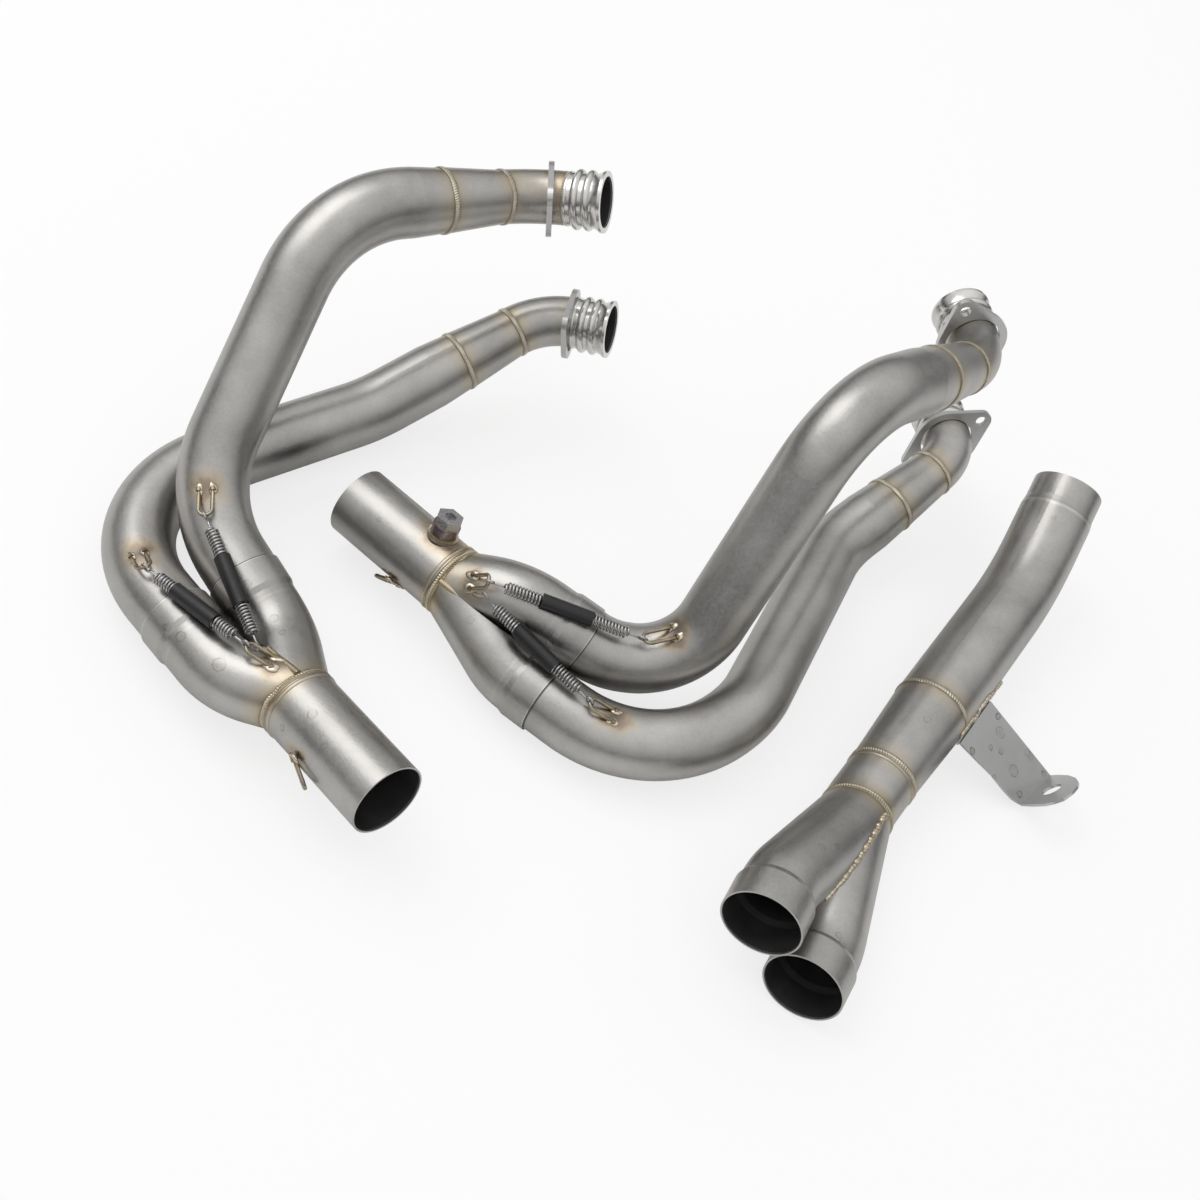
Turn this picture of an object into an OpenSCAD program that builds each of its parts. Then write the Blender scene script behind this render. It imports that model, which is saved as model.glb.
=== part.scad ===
// Motorcycle exhaust header in three sections: a left pair of pipes and a right pair of pipes, each
// pair running into its own collector, and the link that joins both collectors into one outlet.
// The three sections lie apart on the floor, as they come out of the box.

/* [What to draw] */
// one node name, or all of them together

/* [Tubes] */
// outside diameter of the main pipes and of the collector arms
pipe_od = 48; // [40:0.5:56]
// outside diameter of the narrow stub at each port
stub_od = 38; // [30:0.5:44]
// outside diameter that each main pipe necks down to before its cone
neck_od = 45; // [40:0.5:52]
// outside diameter of the two collector outlets
outlet_od = 51; // [46:0.5:60]
// wall of every tube
wall = 1.2; // [0.8:0.1:2]
// length over which a main pipe necks down
neck_len = 24; // [12:1:40]
// length of the cone between the main pipe and the stub
cone_len = 48; // [20:1:60]

/* [Slip joints and weld beads] */
// depth to which a pipe slides into its collector arm
slip_depth = 18; // [12:1:30]
// length of the step where an arm widens to take the pipe
swage_len = 4; // [2:0.5:10]
// gap all round between a pipe and the sleeve that it slides into
slip_gap = 0.1; // [0.05:0.05:0.4]
// width of a weld bead
bead_w = 4; // [2:0.5:8]
// height of a weld bead above the tube
bead_h = 0.8; // [0.3:0.1:2]
// how far the step at a collector's ring reaches inwards, so that both arms stand on it
ring_step = 3; // [2:0.1:5]
// width of the bar that fills the valley between two arms
strip_w = 5; // [3:0.5:8]
// length of that bar
strip_len = 33; // [15:1:45]

/* [Ports] */
// length of the land that carries a weld bead at the ends of a cone
land_len = 3; // [2:0.5:6]
// length of the turned collar at each port
collar_len = 27; // [20:1:40]
// bore of the collar
collar_bore = 36; // [28:0.5:40]
// diameter of the collar's two ridges
ridge_od = 43; // [41:0.5:50]
// diameter of the collar's flared lip
lip_od = 43.6; // [41:0.2:52]
// straight stub between the elbow and the collar
stub_tail = 2; // [1:0.5:10]
// bore of the loose flanges
flange_bore = 42; // [39:0.5:50]
// diameter of the flange's round middle
flange_mid = 53; // [48:0.5:70]
// pitch circle of the two flange holes
bolt_circle = 62; // [52:0.5:90]
// diameter of the flange holes
bolt_hole = 8.5; // [6:0.5:11]
// radius of the flange's two ends
lobe_r = 8.5; // [6:0.5:14]
// thickness of the flanges
flange_t = 4; // [3:0.5:8]
// distance from the end of the elbow back to the middle of the flanges that hang by their collars
flange_back = 3; // [3:0.5:12]

/* [Springs and hooks] */
// outside diameter of the spring coils
spring_od = 8.6; // [6:0.2:12]
// spring wire diameter
spring_wire = 1.4; // [1:0.1:2]
// pitch of the stretched coils
coil_pitch = 2.3; // [1.5:0.1:4]
// mean radius of the loop at each end of a spring
loop_r = 3; // [2.4:0.1:4]
// plain wire between a loop and the coils
shank_len = 12; // [6:1:20]
// outside diameter of the rubber sleeve over the coils
rubber_od = 11; // [9:0.2:16]
// wire diameter of the hooks
hook_wire = 2.6; // [2:0.1:4]
// width of a hook between its two legs, wire centre to wire centre
hook_w = 9; // [8:0.5:14]
// distance along the tube from a hook's bow to the feet of its legs
hook_len = 18; // [12:1:26]
// length of the rubber sleeve
rubber_len = 36; // [20:1:45]

/* [Left section] */
// where the left collector's ring stands
left_place = [-171.5, -213, 42.3]; // [-600:0.5:600]
// how the left section is turned, about x, then y, then z
left_lie = [-99, 3.1, 57.3]; // [-180:0.1:180]
// length of the left collector's outlet
left_outlet_len = 95; // [60:1:140]
// first left arm: tilt from the outlet, twist, roll before its bend, bend angle
left1_aim = [26.1, 4.6, -142.3, 33.6]; // [-180:0.1:180]
// first left arm: straight from the ring, bend radius, straight to the mouth
left1_arm = [43.3, 63, 27.8]; // [1:0.1:120]
// first left pipe: roll before each bend
left1_turns = [97.9, 51.9, -83.7]; // [-180:0.1:180]
// first left pipe: bend radii, the last one is the elbow at the port
left1_radii = [85, 97, 58]; // [30:1:150]
// first left pipe: bend angles
left1_angles = [60.2, 59.1, 48]; // [0:0.1:120]
// first left pipe: straight before each bend
left1_runs = [15.9, 109.5, 78.4]; // [0:0.1:250]
// second left arm: tilt from the outlet, twist, roll before its bend, bend angle
left2_aim = [34.4, -4.6, 172, 34.6]; // [-180:0.1:180]
// second left arm: straight from the ring, bend radius, straight to the mouth
left2_arm = [30.4, 64, 38]; // [1:0.1:120]
// second left pipe: roll before each bend
left2_turns = [6.7, -85.2, 86.3]; // [-180:0.1:180]
// second left pipe: bend radii, the last one is the elbow at the port
left2_radii = [88, 104, 57]; // [30:1:150]
// second left pipe: bend angles
left2_angles = [95.4, 16.9, 49.7]; // [0:0.1:120]
// second left pipe: straight before each bend
left2_runs = [21.1, 111.4, 110.4]; // [0:0.1:250]
// first left pipe's hook: point on the tube's axis under its feet, seen from the arm's mouth
left1_pipe_feet = [-1.6, 11.5, 58.8]; // [-100:0.1:100]
// the tube's own direction there, away from the spring
left1_pipe_along = [-0.07, 0.5, 0.86]; // [-1:0.01:1]
// the way from the tube's axis out to the bow
left1_pipe_out = [0.92, 0.36, -0.13]; // [-1:0.01:1]
// first left arm's hook: point on the tube's axis under its feet, seen from the arm's mouth
left1_arm_feet = [29.5, -0, -91.2]; // [-100:0.1:100]
// the tube's own direction there, away from the spring
left1_arm_along = [0.55, 0, -0.83]; // [-1:0.01:1]
// the way from the tube's axis out to the bow
left1_arm_out = [0.83, 0.1, 0.56]; // [-1:0.01:1]
// second left pipe's hook: point on the tube's axis under its feet, seen from the arm's mouth
left2_pipe_feet = [2.1, 0.2, 40.2]; // [-100:0.1:100]
// the tube's own direction there, away from the spring
left2_pipe_along = [0.22, 0.03, 0.98]; // [-1:0.01:1]
// the way from the tube's axis out to the bow
left2_pipe_out = [-0.06, -1, 0.04]; // [-1:0.01:1]
// second left arm's hook: point on the tube's axis under its feet, seen from the arm's mouth
left2_arm_feet = [17.8, -0, -83.7]; // [-100:0.1:100]
// the tube's own direction there, away from the spring
left2_arm_along = [0.57, -0, -0.82]; // [-1:0.01:1]
// the way from the tube's axis out to the bow
left2_arm_out = [0.21, -0.97, 0.15]; // [-1:0.01:1]
// height of each bow above its tube: first pipe, first arm, second pipe, second arm
left_rises = [6.2, 5.2, 7.6, 7.6]; // [4:0.1:16]
// the left outlet's hook: place of its feet along the outlet, turn round it, rise of the bow, skew
left_outlet_hook_at = [-34, 155, 6, 28]; // [-180:0.1:180]
// first left flange: arc back from the end of the elbow in degrees, lean, where it leans, where it hangs
left1_flange_sit = [12.3, 3.3, 170, 117]; // [-180:0.1:180]
// first left flange: turn of its two holes round the port
left1_flange_turn = 168; // [-180:1:180]
// second left flange: arc back from the end of the elbow in degrees, lean, where it leans, where it hangs
left2_flange_sit = [0, 6.5, 129, 77]; // [-180:0.1:180]
// second left flange: turn of its two holes round the port
left2_flange_turn = 129; // [-180:1:180]

/* [Right section] */
// where the right collector's ring stands
right_place = [-117.1, -73.5, 39.9]; // [-600:0.5:600]
// how the right section is turned, about x, then y, then z
right_lie = [86.4, -48.5, 68.9]; // [-180:0.1:180]
// length of the right collector's outlet
right_outlet_len = 95; // [60:1:140]
// first right arm: tilt from the outlet, twist, roll before its bend, bend angle
right1_aim = [28.5, -0.5, -135.1, 37.1]; // [-180:0.1:180]
// first right arm: straight from the ring, bend radius, straight to the mouth
right1_arm = [28.6, 65, 30.8]; // [1:0.1:120]
// first right pipe: roll before each bend
right1_turns = [124.1, 29.1, -132.7, 104.1]; // [-180:0.1:180]
// first right pipe: bend radii, the last one is the elbow at the port
right1_radii = [60, 54, 70, 54]; // [30:1:150]
// first right pipe: bend angles
right1_angles = [25.5, 73.3, 75.4, 55.6]; // [0:0.1:120]
// first right pipe: straight before each bend
right1_runs = [2.7, 2.7, 120.5, 101.4]; // [0:0.1:250]
// second right arm: tilt from the outlet, twist, roll before its bend, bend angle
right2_aim = [18.7, 0.6, 163.1, 22]; // [-180:0.1:180]
// second right arm: straight from the ring, bend radius, straight to the mouth
right2_arm = [60.4, 57, 22]; // [1:0.1:120]
// second right pipe: roll before each bend
right2_turns = [-26.6, -21.9, 161.1, -164.4]; // [-180:0.1:180]
// second right pipe: bend radii, the last one is the elbow at the port
right2_radii = [89, 91, 82, 48]; // [30:1:150]
// second right pipe: bend angles
right2_angles = [75.1, 25.7, 28.8, 56.6]; // [0:0.1:120]
// second right pipe: straight before each bend
right2_runs = [18.5, 1.8, 151.1, 85.7]; // [0:0.1:250]
// first right pipe's hook: point on the tube's axis under its feet, seen from the arm's mouth
right1_pipe_feet = [-28.3, 26.6, 60.3]; // [-100:0.1:100]
// the tube's own direction there, away from the spring
right1_pipe_along = [-0.79, 0.52, 0.33]; // [-1:0.01:1]
// the way from the tube's axis out to the bow
right1_pipe_out = [-0.59, -0.47, -0.66]; // [-1:0.01:1]
// first right arm's hook: point on the tube's axis under its feet, seen from the arm's mouth
right1_arm_feet = [15.8, 0, -73.5]; // [-100:0.1:100]
// the tube's own direction there, away from the spring
right1_arm_along = [0.6, -0, -0.8]; // [-1:0.01:1]
// the way from the tube's axis out to the bow
right1_arm_out = [-0.65, -0.58, -0.49]; // [-1:0.01:1]
// second right pipe's hook: point on the tube's axis under its feet, seen from the arm's mouth
right2_pipe_feet = [4.6, -2.3, 48.2]; // [-100:0.1:100]
// the tube's own direction there, away from the spring
right2_pipe_along = [0.3, -0.15, 0.94]; // [-1:0.01:1]
// the way from the tube's axis out to the bow
right2_pipe_out = [0.53, 0.85, -0.03]; // [-1:0.01:1]
// second right arm's hook: point on the tube's axis under its feet, seen from the arm's mouth
right2_arm_feet = [23.8, -0, -91.9]; // [-100:0.1:100]
// the tube's own direction there, away from the spring
right2_arm_along = [0.37, -0, -0.93]; // [-1:0.01:1]
// the way from the tube's axis out to the bow
right2_arm_out = [0.42, 0.89, 0.18]; // [-1:0.01:1]
// height of each bow above its tube: first pipe, first arm, second pipe, second arm
right_rises = [14.6, 13.7, 5.9, 6.2]; // [4:0.1:16]
// the right outlet's hook: place of its feet along the outlet, turn round it, rise of the bow, skew
right_outlet_hook_at = [-30, 178, 6, -28]; // [-180:0.1:180]
// first right flange: arc back from the end of the elbow in degrees, lean, where it leans, where it hangs
right1_flange_sit = [0, 4, -107, -107]; // [-180:0.1:180]
// first right flange: turn of its two holes round the port
right1_flange_turn = 41; // [-180:1:180]
// second right flange: arc back from the end of the elbow in degrees, lean, where it leans, where it hangs
right2_flange_sit = [0, 4, -65, -65]; // [-180:0.1:180]
// second right flange: turn of its two holes round the port
right2_flange_turn = 158; // [-180:1:180]

/* [Sensor bung] */
// distance of the bung from the right collector's ring
bung_back = 22; // [14:1:60]
// where the bung stands round the outlet
bung_turn = 27; // [-180:1:180]
// outside diameter of the bung's boss
bung_od = 19; // [16:0.5:24]
// bore of the bung, where the plug's shank goes
bung_bore = 12; // [10:0.5:14]
// height of the boss above the tube
bung_h = 10; // [6:0.5:16]
// distance across the flats of the plug's hexagon
plug_hex = 17; // [15:0.5:22]
// height of the plug's head
plug_h = 6.5; // [4:0.5:12]
// distance across the flats of the socket in the plug's head
plug_socket = 8; // [5:0.5:10]

/* [Link] */
// where the link's outlet end stands
link_place = [282.8, 207.3, 87.9]; // [-600:0.1:600]
// how the link is turned, about x, then y, then z
link_lie = [-139.4, -52.6, -144]; // [-180:0.1:180]
// outside diameter of the link's main tube
link_od = 56; // [52:0.5:64]
// outside diameter of its drawn-in outlet end
link_end_od = 54; // [50:0.5:60]
// length of the drawn-in end and of the step behind it
link_end = [18, 7]; // [1:0.5:40]
// outside diameter of the link's neck and of its two inlet arms
link_neck_od = 50; // [46:0.5:56]
// straights of the main tube before and after its bend
link_runs = [53.1, 116.9]; // [10:0.1:250]
// bend radius of the main tube
link_radius = 150; // [90:1:250]
// bend angle of the main tube
link_angle = 26; // [5:0.1:60]
// length of the cone between the main tube and the neck
link_cone_len = 72.2; // [30:0.1:120]
// straight part of the neck
link_neck_run = 24.7; // [10:0.1:60]
// neck's bend: roll, radius, angle
link_neck_bend = [-55.9, 60, 11.4]; // [-180:0.1:180]
// turn of the two inlets round the ring
link_roll = 87.1; // [-180:0.1:180]
// inlet arms: tilt from the neck, twist, roll before the bend, bend angle
link_aim = [16.1, 0, 180, 17.8]; // [-180:0.1:180]
// inlet arms: straight from the ring, bend radius, straight to the mouth
link_arm = [92.9, 60, 27]; // [1:0.1:150]
// depth to which a collector's outlet slides into the link
link_slip = 22; // [15:1:22]

/* [Bracket] */
// sheet thickness of the bracket
bracket_t = 2; // [1.2:0.1:4]
// where the bracket's root lies round the main tube
bracket_turn = -111.5; // [-180:0.5:180]
// distance from the weld at the cone back to the middle of the root
bracket_back = 14.3; // [-20:0.1:60]
// length of the root along the tube
bracket_root = 50; // [30:1:80]
// width of the root strip that lies on the tube
strip_up = 8; // [5:0.5:14]
// length of the plate from the tube to the ear's fold
plate_len = 75; // [40:1:120]
// width of the plate at the ear's fold
plate_end = 41; // [25:1:60]
// how far the middle of the plate's end lies behind the middle of its root
plate_skew = 13.6; // [-20:0.1:20]
// lean of the plate from the tube's radius
plate_lean = -30.9; // [-60:0.1:60]
// fold between the plate and the ear
ear_fold = 27; // [0:1:80]
// reach of the ear beyond the fold
ear_len = 19; // [14:0.5:30]
// diameter of the hole in the ear
ear_hole = 8.5; // [5:0.5:10]

/* [Hidden] */
$fn = 48;
bend_fn = 96;
// the bands that tie a bend to the next straight stand out by this much
hair = 0.02;
sleeve_od = pipe_od + 2 * (slip_gap + wall);
inlet_od = outlet_od + 2 * (slip_gap + wall);
coil_r = (spring_od - spring_wire) / 2;
loop_shift = loop_r - spring_wire / 2 - hook_wire / 2 - 0.05;

// a flat ring: the section of a tube
module ring(d, w) {
  difference() {
    circle(d = d);
    circle(d = d - 2 * w);
  }
}

module straight(length, d, w = wall) {
  linear_extrude(length) ring(d, w);
}

// a band across a joint, a hair thicker than the wall on both sides, that makes both tubes one solid
module band(d, w = wall) {
  translate([0, 0, -0.8]) straight(1.6, d + 2 * hair, w + 2 * hair);
}

// moves on past a bend that turns towards +x
module after_bend(r, a) {
  translate([r, 0, 0]) rotate([0, a, 0]) translate([-r, 0, 0]) children();
}

// a bend that starts at the origin going up z and turns towards +x
module bend(r, a, d, w = wall) {
  translate([r, 0, 0]) rotate([90, 0, 180])
    rotate_extrude(angle = a, $fn = bend_fn) translate([r, 0]) ring(d, w);
}

// places its children after the first n bends of a pipe
module past_bends(turns, radii, angles, runs, n, i = 0) {
  if (i < n)
    translate([0, 0, runs[i]]) rotate([0, 0, turns[i]]) after_bend(radii[i], angles[i])
      past_bends(turns, radii, angles, runs, n, i + 1) children();
  else
    children();
}

// straights and bends up to bend n, each bend tied to its neighbours by bands
module bent_tube(turns, radii, angles, runs, n, d, i = 0) {
  if (i < n) {
    if (i > 0) straight(runs[i], d);
    translate([0, 0, runs[i]]) rotate([0, 0, turns[i]]) {
      band(d);
      bend(radii[i], angles[i], d);
      after_bend(radii[i], angles[i]) {
        band(d);
        bent_tube(turns, radii, angles, runs, n, d, i + 1);
      }
    }
  }
}

// the outline of a weld bead that spans z = 0, on a wall whose radius is ra below and rb above
function half_moon(ra, rb, width, height) =
  [for (i = [0:8]) let (a = 180 - 22.5 * i)
    [(cos(a) < 0 ? ra : rb) + (i == 0 || i == 8 ? 0 : height * sin(a)), width / 2 * cos(a)]];

// places its children where an arm leaves the ring, going up the arm; side is 0 or 180
module arm_foot(aim, side, d_ring = outlet_od, d = pipe_od) {
  rotate([0, 0, side + aim[1]])
    translate([d_ring / 2 - d / 2 / cos(aim[0]), 0, 0]) rotate([0, aim[0], 0]) children();
}

// places its children at the start of an arm's bend
module arm_bend(aim, arm, side, d_ring = outlet_od, d = pipe_od) {
  arm_foot(aim, side, d_ring, d) translate([0, 0, arm[0]]) rotate([0, 0, aim[2]]) children();
}

// places its children at the mouth of an arm, going on up the pipe
module mouth(aim, arm, side, d_ring = outlet_od, d = pipe_od) {
  arm_bend(aim, arm, side, d_ring, d)
    after_bend(arm[1], aim[3]) translate([0, 0, arm[2]]) children();
}

// one arm of a collector, cut flat at the ring and at the face where it meets the other arm, with a
// widened sleeve at its mouth for what slides in
module collector_arm(aim, arm, side, d_ring, d, d_sleeve, slip) {
  start = slip + swage_len;
  difference() {
    arm_foot(aim, side, d_ring, d) translate([0, 0, -d]) straight(d + arm[0], d);
    translate([-100, -100, -200]) cube([200, 200, 200]);
    rotate([0, 0, side]) translate([-200, -100, -100]) cube([200, 200, 200]);
  }
  // the bend reaches over to the other arm's side only where the foot is short
  reaches = d_ring / 2 - d / 2 / cos(aim[0]) + arm[0] * sin(aim[0]) < d / 2 * cos(aim[0]);
  difference() {
    arm_bend(aim, arm, side, d_ring, d) {
      band(d);
      bend(arm[1], aim[3], d);
      after_bend(arm[1], aim[3]) {
        band(d);
        translate([0, 0, arm[2]]) rotate_extrude()
          polygon([[d / 2 - wall, -arm[2]], [d / 2, -arm[2]], [d / 2, -start], [d_sleeve / 2, -slip],
                   [d_sleeve / 2, 0], [d_sleeve / 2 - wall, 0], [d_sleeve / 2 - wall, -slip],
                   [d / 2 - wall, -start]]);
      }
    }
    if (reaches) rotate([0, 0, side]) translate([-200, -100, -100]) cube([200, 200, 200]);
  }
}

// the outlet below the ring, with two ridges outside and a step inside on which both arms stand
module collector_outlet(length) {
  r = outlet_od / 2;
  rotate_extrude()
    polygon(concat([[r - wall, -length], [r, -length]],
                   [for (p = half_moon(r, r, 3, bead_h)) p + [0, -5.5]],
                   [for (p = half_moon(r, r, 3, bead_h)) p + [0, -1.5]],
                   [[r - ring_step, 0], [r - ring_step, -1], [r - wall, -2.5]]));
}

// the bar in the valley between the two arms; way is +1 or -1 along y
module crotch_strip(aim_1, arm_1, aim_2, arm_2, way) {
  difference() {
    rotate([0, 0, way * 90]) translate([pipe_od / 2, 0, 0]) rotate([0, -11, 0])
      translate([0, 0, 1]) cylinder(h = strip_len, d = strip_w);
    arm_foot(aim_1, 0) translate([0, 0, -pipe_od]) cylinder(h = 3 * pipe_od, d = pipe_od);
    arm_foot(aim_2, 180) translate([0, 0, -pipe_od]) cylinder(h = 3 * pipe_od, d = pipe_od);
    translate([0, 0, -pipe_od]) cylinder(h = pipe_od, d = 2 * pipe_od);
    cylinder(h = 2 * pipe_od, d = pipe_od / 4);
  }
}

// a port pipe: slips into its arm, runs through its bends and necks down before the cone
module port_pipe(turns, radii, angles, runs) {
  n = len(angles) - 1;
  plain = runs[n] - cone_len - neck_len;
  translate([0, 0, -slip_depth]) straight(slip_depth + runs[0], pipe_od);
  bent_tube(turns, radii, angles, runs, n, pipe_od);
  past_bends(turns, radii, angles, runs, n) rotate_extrude()
    polygon([[pipe_od / 2 - wall, 0], [pipe_od / 2, 0], [pipe_od / 2, plain],
             [neck_od / 2, plain + neck_len - land_len], [neck_od / 2, plain + neck_len],
             [neck_od / 2 - wall, plain + neck_len], [neck_od / 2 - wall, plain + neck_len - land_len],
             [pipe_od / 2 - wall, plain]]);
}

// the cone from the main pipe down to the stub, with the weld bead at its wide end
module port_cone(turns, radii, angles, runs) {
  n = len(angles) - 1;
  a = neck_od / 2;
  b = stub_od / 2;
  past_bends(turns, radii, angles, runs, n) translate([0, 0, runs[n] - cone_len]) rotate_extrude()
    polygon(concat([[a - wall, 0], [a, 0]], half_moon(a, a, bead_w, bead_h),
                   [[a, land_len], [b, cone_len - land_len], [b, cone_len], [b - wall, cone_len],
                    [b - wall, cone_len - land_len], [a - wall, land_len]]));
}

// the elbow at the port, with the weld bead at its start
module port_elbow(turns, radii, angles, runs) {
  n = len(angles) - 1;
  r = stub_od / 2;
  past_bends(turns, radii, angles, runs, n) translate([0, 0, runs[n]]) {
    rotate_extrude()
      polygon(concat([[r - wall / 2, 0], [r, 0]], half_moon(r, r - 0.1, bead_w, bead_h),
                     [[r - wall / 2, bead_w / 2 - 0.1]]));
    rotate([0, 0, turns[n]]) {
      bend(radii[n], angles[n], stub_od);
      after_bend(radii[n], angles[n]) {
        band(stub_od);
        straight(stub_tail, stub_od);
      }
    }
  }
}

// outside radius of the collar at a height z: a ridge, a groove, a second ridge and a flared lip
function collar_r(z) =
  z < 4 ? stub_od / 2 :
  z < 10 ? stub_od / 2 + (ridge_od - stub_od) / 2 * pow(sin(30 * (z - 4)), 0.7) :
  z < 12.5 ? stub_od / 2 :
  z < 18.5 ? stub_od / 2 + (ridge_od - stub_od) / 2 * pow(sin(30 * (z - 12.5)), 0.7) :
  z < collar_len - 2 ? stub_od / 2 + (lip_od - stub_od) / 2 * pow((z - 18.5) / (collar_len - 20.5), 1.6) :
  lip_od / 2;

// the turned collar at the port
module port_collar(turns, radii, angles, runs) {
  r = stub_od / 2;
  past_bends(turns, radii, angles, runs, len(angles)) translate([0, 0, stub_tail]) rotate_extrude()
    polygon(concat([[collar_bore / 2, 0], [r, 0]], half_moon(r, r, 2.4, 0.5),
                   [for (z = [4:0.5:collar_len - 2]) [collar_r(z), z]],
                   [[lip_od / 2, collar_len], [collar_bore / 2, collar_len]]));
}

// a loose flange: one outline with a round middle, two round ends and straight sides that touch them
module port_flange(turns, radii, angles, runs, sit, turn) {
  m = flange_mid / 2;
  x = bolt_circle / 2;
  a = acos((m - lobe_r) / x);
  past_bends(turns, radii, angles, runs, len(angles))
    translate([radii[len(radii) - 1], 0, 0]) rotate([0, -sit[0], 0])
    translate([-radii[len(radii) - 1], 0, 0])
    translate([0, 0, sit[0] == 0 ? -flange_back : 0])
    translate(((flange_bore - stub_od) / 2 - 0.3) * [cos(sit[3]), sin(sit[3]), 0])
    rotate([0, 0, sit[2]]) rotate([0, sit[1], 0]) rotate([0, 0, turn - sit[2]])
    translate([0, 0, -flange_t / 2]) difference() {
      linear_extrude(flange_t)
        polygon([for (k = [0, 180]) each concat(
          [for (i = [0:12]) let (t = k - a + 2 * a * i / 12) [x * cos(k), 0] + lobe_r * [cos(t), sin(t)]],
          [for (i = [0:12]) let (t = k + a + (180 - 2 * a) * i / 12) m * [cos(t), sin(t)]])]);
      translate([0, 0, -1]) cylinder(h = flange_t + 2, d = flange_bore, $fn = 96);
      for (k = [-1, 1]) translate([k * x, 0, -1]) cylinder(h = flange_t + 2, d = bolt_hole);
    }
}

function unit(v) = v / norm(v);

// a frame from its x and z directions and its origin
module at_frame(x, z, p) {
  y = cross(z, x);
  multmatrix([[x[0], y[0], z[0], p[0]], [x[1], y[1], z[1], p[1]], [x[2], y[2], z[2], p[2]], [0, 0, 0, 1]])
    children();
}

// where a hook's bow stands, in front of its feet and out from the tube's axis
function bow_at(feet, along, out, r, rise) = feet - hook_len * unit(along) + (r + rise) * unit(out);

// a bent wire hook, its bow at the origin: z runs along the tube away from the spring, x in towards the
// axis; the two legs lean down to a tube of radius r and end in weld pads
module wire_hook(r, rise, skew = 0) {
  h = hook_w / 2;
  drop = r - sqrt(r * r - h * h);
  lean = atan2(rise + drop, hook_len);
  leg = norm([rise + drop, hook_len]) - h;
  difference() {
    rotate([skew, 0, 0]) rotate([0, lean, 0]) {
      translate([0, 0, h]) rotate([0, 90, 0]) rotate([0, 0, -90])
        rotate_extrude(angle = 180, $fn = 64) translate([h, 0]) circle(d = hook_wire);
      for (k = [-1, 1]) translate([0, k * h, h]) {
        translate([0, 0, -0.7]) cylinder(h = 1.4, d = hook_wire + 0.2);
        cylinder(h = leg + 2, d = hook_wire);
        translate([0, 0, leg - 1.5]) cylinder(h = 3, d = 1.7 * hook_wire);
      }
    }
    translate([r + rise, 0, -20]) cylinder(h = 80, r = r);
  }
}

// a wire hook on a tube of radius r
module hook_on(feet, along, out, r, rise, skew = 0) {
  at_frame(-unit(out), unit(along - (along * unit(out)) * unit(out)), bow_at(feet, along, out, r, rise))
    wire_hook(r, rise, skew);
}

// the points along a spring of the given stretch, loops at z = 0 and z = stretch
function spring_path(stretch, twist) =
  let (top = loop_shift + loop_r, z0 = top + shank_len, z1 = stretch - z0,
       turns = round((z1 - z0) / coil_pitch), n = turns * 8)
  concat(
    [for (a = [325:-24:37]) [loop_r * sin(a), 0, loop_shift + loop_r * cos(a)]],
    [[0.4, 0, top + 0.4], [0, 0, top + 1.5], [0, 0, (top + z0) / 2], [0, 0, z0 - 1.5]],
    [for (i = [0:n]) let (r = coil_r * min(1, i / 5, (n - i) / 5))
      [r * cos(45 * i), r * sin(45 * i), z0 + (z1 - z0) * i / n]],
    [for (z = [z1 + 1.5, stretch - (top + z0) / 2, stretch - top - 1.5]) [0, 0, z]],
    [[0.4 * cos(twist), 0.4 * sin(twist), stretch - top - 0.4]],
    [for (a = [37:24:325]) [loop_r * sin(a) * cos(twist), loop_r * sin(a) * sin(twist),
                            stretch - loop_shift - loop_r * cos(a)]]);

function across(v, t) = unit(v - (v * t) * t);

// a round wire along a path: a ring of five corners at each point, carried on without twist
module wire(path, d) {
  n = len(path);
  tangent = [for (i = [0:n - 1]) unit(path[min(i + 1, n - 1)] - path[max(i - 1, 0)])];
  side = [for (i = 0, s = across([0, 1, 0], tangent[0]); i < n;
               i = i + 1, s = across(s, tangent[min(i, n - 1)])) s];
  points = [for (i = [0:n - 1]) for (k = [0:4])
    path[i] + d / 2 * (cos(72 * k) * side[i] + sin(72 * k) * cross(tangent[i], side[i]))];
  faces = concat([[4, 3, 2, 1, 0]],
    [for (i = [0:n - 2]) for (k = [0:4]) [5 * i + k, 5 * i + (k + 1) % 5, 5 * i + 5 + k]],
    [for (i = [0:n - 2]) for (k = [0:4]) [5 * i + (k + 1) % 5, 5 * i + 5 + (k + 1) % 5, 5 * i + 5 + k]],
    [[5 * n - 5, 5 * n - 4, 5 * n - 3, 5 * n - 2, 5 * n - 1]]);
  polyhedron(points, faces);
}

// a spring between two bows; each end's loop lies in the plane that its own hook asks for
module spring(bow_1, out_1, bow_2, out_2) {
  z = unit(bow_2 - bow_1);
  x = -across(out_1, z);
  x_2 = -across(out_2, z);
  at_frame(x, z, bow_1)
    wire(spring_path(norm(bow_2 - bow_1), atan2(x_2 * cross(z, x), x_2 * x)), spring_wire);
}

// the rubber sleeve over the middle of a spring
module rubber(bow_1, out_1, bow_2) {
  z = unit(bow_2 - bow_1);
  at_frame(-across(out_1, z), z, bow_1) translate([0, 0, (norm(bow_2 - bow_1) - rubber_len) / 2])
    straight(rubber_len, rubber_od, (rubber_od - spring_od) / 2 - 0.05);
}

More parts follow.
